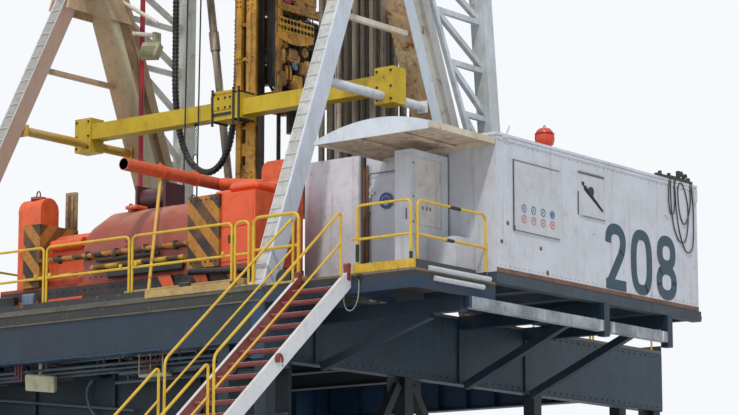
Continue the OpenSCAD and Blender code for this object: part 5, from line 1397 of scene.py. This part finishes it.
def makeRails():
    spans = ((-4.15, -2.6), (-2.52, -0.96), (-0.88, 1.25), (1.33, 3.75))   # ends of each rail panel
    assemble("StairHeadHoop", "railYellow", tubes=[
        (hoopLine(hoop["x0"], hoop["x1"], hoop["y"], hoop["high"], hoop["bend"]), hoop["radius"], 12)
    ], rods=[
        (hoop["x0"], hoop["y"], 0.62, hoop["x1"], hoop["y"], 0.62, hoop["radius"] * 0.85, 10),
        (6.53, -6.255, 0.6, 6.66, -6.255, 0.6, 0.02, 8)
    ], boxes=[
        (x0 + 0.1, -6.275, 0.605, x0 + 0.16, -6.24, 0.665, 0.004) for x0, x1 in spans
    ] + [
        (x1 - 0.2, -6.275, 0.605, x1 - 0.14, -6.24, 0.665, 0.004) for x0, x1 in spans
    ])
    assemble("RailTape", "darkIron", rods=[(*ends, railWide / 2 + 0.0015, 14) for ends in (
        (7.83, -5.2, railTop, 7.83, -4.9, railTop), (7.83, -5.3, railTop / 2, 7.83, -5.1, railTop / 2),
        (6.63, -6.25, 0.2, 6.63, -6.25, 0.5), (7.78, -6.25, 0.02, 7.78, -6.25, 0.28),
        (7.83, -4.16, 0.03, 7.83, -4.16, 0.16))])
    posts = (-4.1, -2.65, -2.47, -1.01, -0.83, 1.2, 1.38, 3.7, 3.88, 4.1, 4.3, 5.33, 6.63, 7.8)
    spots = [((x, -6.255, 0.012), (0, 0, 0), (0.12, 0.085, 0.02)) for x in posts]
    repeat("RailFeet", blockPart(0.1), spots, "railYellow", unevenness=0.05)
    print("rail trim made")


makeRails()

# Deck edge: timber on the skid line, lifting pads, clutter that is bolted down, rope loop
def makeDeckEdge():
    assemble("DeckTimbers", "timber", boxes=[
        (1.1, -6.18, clear, 4.0, -5.98, 0.17, 0.01), (-4.5, -6.1, clear, -2.95, -5.9, 0.13, 0.01),
        (4.75, -6.12, clear, 5.3, -5.95, 0.1, 0.01)
    ])
    assemble("DeckEdgeStrips", "edgeBeige", boxes=[
        (-4.55, -6.318, -0.10, 4.55, -6.301, -0.055, 0.002),
        (-4.55, -6.318, -0.30, 4.55, -6.301, -0.27, 0.002)
    ])
    spots = studs([p for z in (-0.36, -0.94) for p in row((-4.2, -6.281, z), (4.2, -6.281, z), 26)],
                  (0, -1, 0), 0.012, 0.01)
    spots += studs([p for z in (-0.14, -1.22) for p in row((4.602, -6.2, z), (4.602, 6.9, z), 60)],
                   (1, 0, 0), 0.018, 0.016)
    repeat("GirderBolts", boltPart(), spots, "boltBlue", unevenness=0.15)
    assemble("DeckLugs", "darkIron", rings=[
        (6.72, -6.322, -0.09, 0, 1, 0, 0.04, 0.01, 16, 6)
    ], boxes=[
        (6.68, -6.335, -0.06, 6.76, -6.301, -0.02, 0.004), (2.5, -6.24, 0.02, 2.75, -6.15, 0.2, 0.02),
        (-2.9, -5.78, clear, -2.2, -5.62, 0.4, 0.03)
    ], discs=[
        (4.95, -6.12, 0.06, 0, -1, 0, 0.17, 0.1, 24)
    ])
    assemble("BlueBoxes", "valveBlue", boxes=[
        (-2.05, -5.72, clear, -1.72, -5.62, 0.42, 0.02), (0.55, -5.7, clear, 1.25, -5.6, 0.2, 0.03)
    ])
    line = smoothLine([(6.72, -6.322, -0.12), (6.72, -6.324, -0.3), (6.69, -6.326, -0.48),
                       (6.62, -6.328, -0.6), (6.54, -6.33, -0.64),
                       (6.45, -6.33, -0.6), (6.4, -6.33, -0.46), (6.41, -6.328, -0.3),
                       (6.44, -6.322, -0.12)], 5)
    obj = assemble("SafetyRope", "ropeGrey", tubes=[(line, 0.009, 8)])
    print("deck edge made")


makeDeckEdge()

# Pin at the end of the cabin's skid
def makeSkidPin():
    assemble("SkidPin", "darkIron", discs=[
        (7.75, 3.1, 0.1, 0, 1, 0, 0.03, 0.09, 14), (7.75, 3.19, 0.1, 0, 1, 0, 0.075, 0.06, 20)
    ])
    print("skid pin made")


makeSkidPin()

# Clamp on the crossbeam, with straps and bolts, and a hook on a short chain under the beam
clamp = {"face": -2.12, "straps": (-0.36, 0.2, 0.34), "nuts": (4.1, 4.16, 4.81), "links": 9, "pitch": 0.07,
         "chain": (-0.95, -1.95), "top": 4.235, "bolt": 0.018, "tall": 0.02}


def makeClamp():
    yf, straps, nuts = values(clamp, "face straps nuts")
    bars = ((4.14, yf - clear, 4.8), (4.741, -1.66, 4.775), (4.175, -1.66, 4.209))
    assemble("ClampStraps", "darkIron", boxes=[
        (x, yf - 0.03, low, x + 0.05, back, high, 0.006) for x in straps for low, back, high in bars
    ] + [
        (-0.30, yf - 0.02, 4.30, 0.16, yf - clear, 4.36, 0.004)
    ], discs=[
        (x + 0.025, yf - 0.012, z, 0, 0, 1, 0.03, 0.04, 6) for x in straps for z in nuts
    ])
    assemble("ClampCap", "beamYellow", boxes=[
        (-0.395, yf + 0.02, 4.741, 0.17, -1.7, 4.82, 0.02),
        (-0.385, yf - 0.012, 4.42, 0.18, yf - clear, 4.70, 0.01)
    ])
    spots = [(x, yf - 0.012, z) for x in (-0.34, -0.18, 0.0, 0.13) for z in (4.46, 4.66)]
    spots += [(s * 4.02 + dx, -2.101, z) for s in (-1, 1) for dx in (-0.17, 0.17)
              for z in (4.1, 4.35, 4.66)]
    repeat("ClampBolts", boltPart(), studs(spots, (0, -1, 0), clamp["bolt"], clamp["tall"]), "darkIron")
    x, y = clamp["chain"]
    assemble("BeamChain", "darkIron", rings=[
        (x, y, clamp["top"] - clamp["pitch"] * k, k % 2, 1 - k % 2, 0, 0.03, 0.009, 12, 6)
        for k in range(clamp["links"])
    ] + [
        (x, y, 3.57, 0, 1, 0, 0.055, 0.014, 16, 8, -40, 260)
    ], boxes=[
        (-0.985, -1.97, 4.225, -0.915, -1.93, 4.2699, 0.004)
    ])
    print("clamp made")


makeClamp()

# Lines that run from the floor to the crown, taut
lines = {"radius": 0.016, "feet": ((-0.62, -2.3), (-0.95, -2.34)), "top": -1.86}


def makeLines():
    assemble("LineShackles", "darkIron", boxes=[
        (x - 0.09, y - 0.06, clear, x + 0.09, y + 0.06, 0.03, 0.006) for x, y in lines["feet"]
    ], rings=[
        (x, y, 0.075, 1, 0, 0, 0.045, 0.012, 16, 8) for x, y in lines["feet"]
    ], discs=[
        (x, lines["top"], 29.98, 0, 0, 1, 0.05, 0.2, 14) for x, y in lines["feet"]
    ])
    assemble("TautLines", "wireRope", rods=[
        (x, y, 0.1, x, lines["top"], 29.985, lines["radius"], 8) for x, y in lines["feet"]
    ])
    print("lines made")


makeLines()

# Girt between the left back leg and the mast, with its floodlight; bracing behind it
def makeGirts():
    assemble("LegGirts", "rungWhite", rods=[
        (s * 3.72, -1.05, 6.75, s * 2.98, -0.9, 6.62, 0.05, 10) for s in (-1, 1)
    ] + [
        (s * 3.74, -1.4, 7.45, s * 2.98, -0.95, 6.9, 0.045, 10) for s in (-1, 1)
    ])
    turn = Matrix.Rotation(math.radians(-25), 3, "X") @ Matrix.Rotation(math.radians(12), 3, "Z")
    assemble("LegFloodlight", "lampHousing", boxes=[
        (-3.16, -1.28, 6.04, -2.72, -1.08, 6.40, 0.02, turn), (-2.98, -1.1, 6.36, -2.9, -0.9, 6.66, 0.005)
    ])
    assemble("LegFloodlightGlass", "lampGlass", boxes=[
        (-3.11, -1.315, 6.06, -2.77, -1.285, 6.34, 0.01, turn)
    ])
    print("girts made")


makeGirts()

# Pipes and trays under the floor: y, z, radius and both ends of each pipe
underfloor = {"pipes": ((-5.95, -1.13, 0.028, -3.3, 4.2), (-5.85, -1.2, 0.025, -3.8, 4.2),
                        (-5.72, -1.27, 0.05, 0.6, 4.3), (-5.6, -1.22, 0.04, -4.2, 4.3),
                        (-5.5, -1.42, 0.03, 0.3, 4.3), (-5.3, -1.35, 0.045, 1.2, 4.3)),
              "first": 0.3, "pitch": 1.9, "beam": -1.0}


def makeUnderfloor():
    pipes, first, pitch, beam = values(underfloor, "pipes first pitch beam")
    hangers = [(x0 + first + pitch * i, y, z) for y, z, r, x0, x1 in pipes
               for i in range(int((x1 - x0 - first) / pitch) + 1)]
    assemble("UnderfloorPipes", "pipeBlue", rods=[
        (x0, y, z, x1, y, z, r, 10) for y, z, r, x0, x1 in pipes
    ], boxes=[
        (x, y - 0.015, z, x + 0.03, y + 0.015, beam) for x, y, z in hangers
    ])
    assemble("UnderfloorBoxes", "darkIron", boxes=[
        (x, -5.4, -1.28, x + 0.5, -5.1, -1.0, 0.02) for x in (-3.2, -1.4, 0.6, 2.4)
    ] + [
        (x + 0.1, -5.75, -1.02, x + 0.35, -5.2, -0.98, 0.01) for x in (-3.2, -1.4, 0.6, 2.4)
    ])
    # a dark teal sheet with uprights across the gap under the floor: painted shade where the substructure
    # lies in shadow
    assemble("UnderfloorWall", "underShadeTeal", boxes=[
        (-4.3, -5.2, -2.75, 4.3, -5.18, -1.28)
    ] + [
        (x, -5.26, -2.75, x + 0.1, -5.2, -0.98, 0.005) for x in (-4.3, -2.15, -0.05, 2.1, 4.2)
    ])
    assemble("UnderfloorRails", "pipeBlue", rods=[
        (-4.3, -5.3, -1.4, 0.6, -5.3, -1.94, 0.025, 8), (-4.3, -5.3, -2.15, 4.3, -5.3, -2.2, 0.025, 8)
    ], tubes=[
        (smoothLine([(-0.5, -5.3, -1.3), (-0.62, -5.32, -1.5), (-0.55, -5.32, -1.8), (-0.35, -5.3, -2.1),
                     (-0.33, -5.3, -2.6)], 5), 0.03, 8)
    ])
    turn = Matrix.Rotation(0.5, 3, (0.6, 0.3, 0.74))
    assemble("UnderfloorLamp", "lampHousing", boxes=[
        (-1.55, -6.0, -1.52, -0.95, -5.85, -1.2, 0.02, turn),
        (-1.3, -5.95, -1.3, -1.24, -5.9, -0.99, 0.004), (1.3, -5.98, -1.42, 1.95, -5.75, -1.36, 0.02)
    ], rods=[
        (x, -5.97, -1.4, x, -5.97, -0.99, 0.012, 8) for x in (1.32, 1.6, 1.9)
    ])
    assemble("UnderfloorWires", "wireRust", tubes=[
        (smoothLine([(1.4 + 0.13 * k, -6.0, -1.0), (1.44 + 0.1 * k, -6.02, -1.15),
                     (1.5 + 0.05 * k, -6.0, -1.3), (1.8, -5.97, -1.33)], 5), 0.009, 6) for k in range(5)
    ], boxes=[
        (-1.9 + 0.08 * k, -6.0, -1.2 - 0.06 * k, -1.85 + 0.08 * k, -5.95, -1.0, 0.004) for k in range(3)
    ])
    print("underfloor pipes made")


makeUnderfloor()

# Faces of the back legs: a plate in front, a pale and a dark strip on the side that the camera sees; the
# left pale strip is painted light on the lit flange, the right dark strip is painted shade on the web
backLeg = {"foot": 1.03, "slope": 3.26 / 7.9, "in": 3.59, "out": 4.07, "low": 0.12, "high": 6.85,
           "sheet": 0.004, "off": 0.0006, "strips": (("Pale", 0.0, 0.33), ("Dark", 0.64, 0.9)),
           "strutX": 3.95, "strutZ": 4.18}


def backLegY(z, along):
    return backLeg["foot"] - backLeg["slope"] * z + along


def makeLegFaces():
    low, high, sheet, off, x, z = values(backLeg, "low high sheet off strutX strutZ")
    for side, name, front, finishes in ((-1, "Left", "legBeige", ("creamLitStrip", "legBeige")),
                                        (1, "Right", "legRust", ("whiteStrip", "greyShadeStrip"))):
        x0, x1 = sorted((side * backLeg["in"], side * backLeg["out"]))
        a, b = x0 + sheet, x1 - sheet
        corners = [(u, backLegY(w, -off), w) for u, w in ((a, low), (b, low), (b, high), (a, high))]
        assemble("BackLegFront" + name, front, plates=[(corners, (0, -1, -0.41), sheet)])
        for (label, a, b), finish in zip(backLeg["strips"], finishes):
            corners = [(x1 + off, backLegY(w, along), w)
                       for w, along in ((low, a), (low, b), (high, b), (high, a))]
            assemble("BackLeg%s%s" % (label, name), finish, plates=[(corners, (1, 0, 0), sheet)])
    obj = assemble("LowerStruts", "strutPaint", rods=[
        (s * x, -3.885, z, s * x, -0.735, z, 0.095, 18) for s in (-1, 1)
    ])
    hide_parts("a_frame_struts")
    assemble("UpperStruts", "upperStrut", boxes=[
        (s * x - 0.055, -3.28, 5.505, s * x + 0.055, -1.28, 5.615, 0.012) for s in (-1, 1)
    ])
    ends = [((s * x, y, z), (0, 0, 0), (0.24, 0.03, 0.24)) for s in (-1, 1) for y in (-3.875, -0.75)]
    repeat("StrutEnds", blockPart(0.05), ends, "strutPaint")
    print("leg faces made")


makeLegFaces()

# Intake pipe with flanges, a dark disc deep in its open mouth that paints the shade of the bore, and its
# leaning pole
intake = {"x": 1.15, "z": 2.54, "y0": -3.5, "y1": -6.29, "radius": 0.12}


def makeIntake():
    x, z, y0, y1, r = values(intake, "x z y0 y1 radius")
    obj = assemble("IntakePipe", "intakeOrange", tubes=[
        ([(x, y0, z), (x, y1, z), (x, y1, z), (x, y1 + 0.25, z)], [r, r, r - 0.014, r - 0.014], 32)
    ])
    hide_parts("intake_pipe")
    assemble("IntakeFlanges", "brightOrange", discs=[
        (x, y, z, 0, 1, 0, r + 0.02, 0.03, 32) for y in (-5.3, -4.32)
    ], boxes=[
        (x - 0.06, -3.62, z - 0.1, x + 0.118, -3.36, z + 0.1, 0.02)
    ] + [
        (x - 0.02, y - 0.01, z + r, x + 0.02, y + 0.04, z + r + 0.05, 0.004) for y in (-5.3, -4.32)
    ], rings=[
        (x, y1 + 0.012, z, 0, 1, 0, r - 0.006, 0.006, 32, 6)
    ])
    # dark disc at the bottom of the recessed mouth: painted shade of the pipe's bore
    assemble("IntakeMouth", "darkIron", discs=[(x, y1 + 0.24, z, 0, 1, 0, r - 0.015, 0.01, 30)])
    assemble("IntakePole", "poleYellow", tubes=[
        ([(x, -5.28, z - r + 0.01), (x + 0.04, -5.33, 2.3),
          (x + 0.58, -6.2, 0.06), (x + 0.58, -6.2, 0.001)], 0.032, 12)
    ], discs=[
        (x + 0.58, -6.2, 0.001, 0, 0, 1, 0.06, 0.012, 16)
    ])
    print("intake made")


makeIntake()

# More of the drive seen past the guard: tanks, brackets, valves and a busy face
driveFace = {"seed": 9, "fittings": 34, "bits": 12, "loops": 6, "plate": 0.5985, "bolt": 0.011,
             "tall": 0.004,
             "boxes": ((-1.14, 5.05, -0.86, 5.34), (-0.8, 5.62, -0.5, 5.86), (-0.44, 5.35, -0.12, 5.6),
                       (-0.1, 4.98, 0.22, 5.3), (-1.1, 6.9, -0.7, 7.25), (-0.3, 6.85, 0.1, 7.1),
                       (0.05, 5.55, 0.36, 5.95), (-0.72, 7.3, -0.3, 7.7)),
             "drums": ((-0.93, 5.92, 0.09), (-0.28, 5.84, 0.1), (0.12, 5.42, 0.08), (-0.62, 5.1, 0.1),
                       (-0.5, 6.78, 0.09), (0.2, 6.75, 0.08))}


def makeDriveFace():
    rng = random.Random(driveFace["seed"])
    assemble("DriveLumps", "driveYellow", body="hoist", boxes=[
        (0.47, y0, z0, 0.592, y1, z1, 0.03) for y0, z0, y1, z1 in driveFace["boxes"]
    ], discs=[
        (0.48, y, z, 1, 0, 0, r, 0.1, 20) for y, z, r in driveFace["drums"]
    ] + [
        (0.58, y, z, 1, 0, 0, r * 0.55, 0.015, 6) for y, z, r in driveFace["drums"]   # nuts on the drums
    ])
    bm = bmesh.new()
    for k in range(driveFace["fittings"]):
        y, z = rng.uniform(-1.12, 0.34), rng.uniform(4.95, 7.7)
        if 6.1 < z < 6.5:
            continue
        w, h = rng.uniform(0.02, 0.07), rng.uniform(0.02, 0.07)
        addBox(bm, (0.5, y, z), (rng.uniform(0.575, 0.596), y + w, z + h), 0.006)
    piece(bm, "DriveFittings", "greasySteel", body="hoist")
    bm = bmesh.new()
    for k in range(driveFace["bits"]):
        y, z = rng.uniform(-1.1, 0.3), rng.uniform(5.0, 7.6)
        w = rng.uniform(0.02, 0.05)
        addBox(bm, (0.52, y, z), (0.597, y + w, z + w * 1.6), 0.005)
    piece(bm, "DriveBrightBits", "guardYellow", body="hoist")
    bm = bmesh.new()   # loose loops of hose at the column
    for k in range(driveFace["loops"]):
        x = 0.34 + 0.04 * k
        line = smoothLine([(x, -1.17 + 0.012, 7.6 - 0.1 * k), (x + 0.02, -1.15, 6.6),
                           (x + rng.uniform(-0.04, 0.04), -1.145, 5.8), (x, -1.15, 5.0)], 5)
        addTube(bm, line, 0.012 + 0.002 * (k % 3), 7)
    piece(bm, "ColumnHoses", "hoseBlack", body="hoist")
    spots, x = [], driveFace["plate"]
    for z in (4.83, 6.7, 7.97):
        spots += row((x, -1.02, z), (x, 0.3, z), 14)
    for y in (-1.1, 0.36):
        spots += row((x, y, 4.9), (x, y, 7.9), 22)
    places = studs(spots, (1, 0, 0), driveFace["bolt"], driveFace["tall"])
    repeat("DriveBolts", boltPart(), places, "greasySteel", body="hoist")
    print("drive face made")


makeDriveFace()

# Details of the drawworks: second bumper bar, gussets, rust-brown strips that paint the shade of the post's
# grooves, hoist points
def makeWorksTrim():
    assemble("LowerBumper", "bumperPaint", rods=[
        (-0.3, -5.575, 0.80, 2.05, -5.575, 0.80, 0.05, 12),
        (-2.1, -5.575, 0.72, -0.7, -5.575, 0.72, 0.04, 12)
    ])
    assemble("SkidGussets", "driveOrange", plates=[
        ([(x, -5.53, 0.5), (x + 0.32, -5.53, 0.5), (x + 0.5, -5.53, 0.08), (x + 0.26, -5.53, 0.08)],
         (0, -1, 0), 0.02) for x in (1.35, 2.2, 3.0)
    ], boxes=[
        (0.2, -5.24, 1.922, 0.5, -4.9, 1.99, 0.02)
    ] + [
        (x0, -5.53, 0.12, x1, -5.501, 0.3, 0.005) for x0, x1 in ((-2.7, -1.8), (-1.5, -0.6))
    ])
    # rust-brown strips on the post: painted shade of its grooves
    assemble("PostGrooves", "rustStrip", boxes=[
        (-2.27, -4.262, 1.35, -2.21, -4.2505, 2.6), (-2.13, -4.262, 1.35, -2.105, -4.2505, 2.6)
    ])
    assemble("GearBoxCaps", "housingRed", discs=[
        (-2.5, -4.85, 2.44, 0, 0, 1, 0.16, 0.05, 24), (-2.806, -4.85, 1.1, -1, 0, 0, 0.17, 0.05, 24)
    ], boxes=[
        (-2.79, -5.06, 1.62, -2.2, -4.64, 1.66, 0.01), (-2.62, -5.125, 0.9, -2.38, -5.1005, 1.3, 0.01)
    ])
    print("drawworks trim made")


makeWorksTrim()

# White lagged tubes along the landing's side, beige bars on the curb's face
def makeLandingTubes():
    assemble("LandingTubes", "laggingWhite", rods=[
        (7.893, -5.9, 0.03, 7.893, -4.1, 0.03, 0.045, 14),
        (7.893, -5.75, -0.13, 7.893, -4.3, -0.13, 0.045, 14)
    ])
    assemble("CurbBars", "timber", boxes=[
        (1.75, -6.318, -0.035, 3.8, -6.301, 0.105, 0.004),
        (-4.58, -6.318, -0.03, -3.3, -6.301, 0.105, 0.004),
        (4.65, -6.318, -0.04, 5.36, -6.301, 0.0, 0.004)
    ])
    print("landing tubes made")


makeLandingTubes()

# Smooth stair rails, bent at both ends of each span
stairRail = {"xs": (5.415, 6.475), "rail": 1.25, "mid": 0.70, "radius": 0.024, "bend": 0.12,
             "spans": ((0.18, 2.96), (3.08, 5.4), (5.52, 7.8))}


def stairPoint(x, drop, up):
    return Vector((x, stair["front"] - drop / math.tan(stair["slope"]), up - drop))


# The line through the points with each inner corner bent round
def rounded(points, reach, steps=6):
    line = [points[0]]
    for a, b, c in zip(points, points[1:], points[2:]):
        p = b + (a - b).normalized() * reach
        q = b + (c - b).normalized() * reach
        for k in range(steps + 1):
            t = k / steps
            line.append(p * (1 - t) ** 2 + b * 2 * t * (1 - t) + q * t * t)
    return line + [points[-1]]


def makeStairRails():
    bm = bmesh.new()
    radius = stairRail["radius"]
    foot = stair["up"] + radius * math.tan(stair["slope"]) + clear
    for x in stairRail["xs"]:
        for a, b in stairRail["spans"]:
            corners = [stairPoint(x, a, foot), stairPoint(x, a, stairRail["rail"]),
                       stairPoint(x, b, stairRail["rail"]), stairPoint(x, b, foot)]
            addTube(bm, rounded(corners, stairRail["bend"]), radius, 12)
            addRod(bm, stairPoint(x, a, stairRail["mid"]), stairPoint(x, b, stairRail["mid"]), radius * 0.8,
                   10)
    obj = piece(bm, "StairRails", "railYellow")
    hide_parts("stair_rails")
    print("stair rails made")


makeStairRails()

# Falls of the drilling line: straight ropes from the lower to the upper end of the drill lines' part
def makeFalls():
    low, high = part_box("drill_lines")
    y = high[1] - 0.0175
    bm = bmesh.new()
    for x in (-0.24, -0.08, 0.08, 0.24):
        for s in (-1, 1):
            addRod(bm, (x, s * y, low[2]), (x, s * y, high[2]), 0.0175, 10)
    obj = piece(bm, "LineFalls", "wireRope", body=None)
    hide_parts("drill_lines")
    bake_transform(obj)
    print("falls of the line made")


makeFalls()

# Plain plates over the girders' faces
def makeGirderFaces():
    low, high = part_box("end_girders")
    assemble("FrontGirderFace", "girderFace", boxes=[
        (low[0], low[1] - 0.004, low[2] + 0.033, high[0], low[1] - 0.0006, high[2] - 0.033)
    ])
    low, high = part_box("side_girders")
    assemble("SideGirderFace", "girderDark", boxes=[
        (high[0] + 0.0006, low[1], low[2] + 0.033, high[0] + 0.004, high[1], high[2] - 0.033)
    ])
    print("girder faces made")


makeGirderFaces()

# Floor, world and lamps
def stage():
    bm = bmesh.new()
    for x, y in ((-400, -400), (400, -400), (400, 400), (-400, 400)):
        bm.verts.new((x, y, groundZ))
    bm.faces.new(bm.verts)
    mesh = bpy.data.meshes.new("Floor")
    bm.to_mesh(mesh)
    bm.free()
    floor = bpy.data.objects.new("Floor", mesh)
    bpy.context.scene.collection.objects.link(floor)
    m, tree, shader, v = newMaterial("floorPale")
    colour = mixed(tree, ramp(tree, noiseOf(tree, v, 0.15, 3, 0.5), 0.3, 0.7), (0.80, 0.80, 0.79, 1),
                   (0.84, 0.84, 0.83, 1))
    tree.links.new(colour, shader.inputs["Base Color"])
    shader.inputs["Roughness"].default_value = 0.9
    mesh.materials.append(m)
    world = bpy.data.worlds.new("Studio")
    bpy.context.scene.world = world
    world.use_nodes = True
    tree = world.node_tree
    tree.nodes.clear()
    out = tree.nodes.new("ShaderNodeOutputWorld")
    shown = addNode(tree, "ShaderNodeBackground")
    shown.inputs["Color"].default_value = (0.93, 0.95, 0.98, 1)
    shown.inputs["Strength"].default_value = 1.0
    lit = addNode(tree, "ShaderNodeBackground")
    lit.inputs["Color"].default_value = (0.84, 0.92, 1.0, 1)
    lit.inputs["Strength"].default_value = 0.50
    path = tree.nodes.new("ShaderNodeLightPath")
    seen = sum2(tree, sum2(tree, path.outputs["Is Camera Ray"], path.outputs["Is Glossy Ray"], "MAXIMUM"),
                path.outputs["Is Transmission Ray"], "MAXIMUM")
    mix = tree.nodes.new("ShaderNodeMixShader")
    tree.links.new(seen, mix.inputs[0])
    tree.links.new(lit.outputs[0], mix.inputs[1])
    tree.links.new(shown.outputs[0], mix.inputs[2])
    tree.links.new(mix.outputs[0], out.inputs[0])
    for name, strength, angle, aim, colour in (
            ("Key", 1.9, 4, (-0.30, 0.46, -0.83), (1.0, 0.95, 0.87)),
            ("Fill", 0.35, 40, (0.45, 0.8, -0.35), (0.92, 0.96, 1.0))):
        lamp = bpy.data.lights.new(name, "SUN")
        lamp.energy = strength
        lamp.angle = math.radians(angle)
        lamp.color = colour
        obj = bpy.data.objects.new(name, lamp)
        obj.rotation_euler = Vector(aim).to_track_quat("-Z", "Y").to_euler()
        bpy.context.scene.collection.objects.link(obj)


stage()
bpy.context.scene.view_settings.view_transform = "Standard"
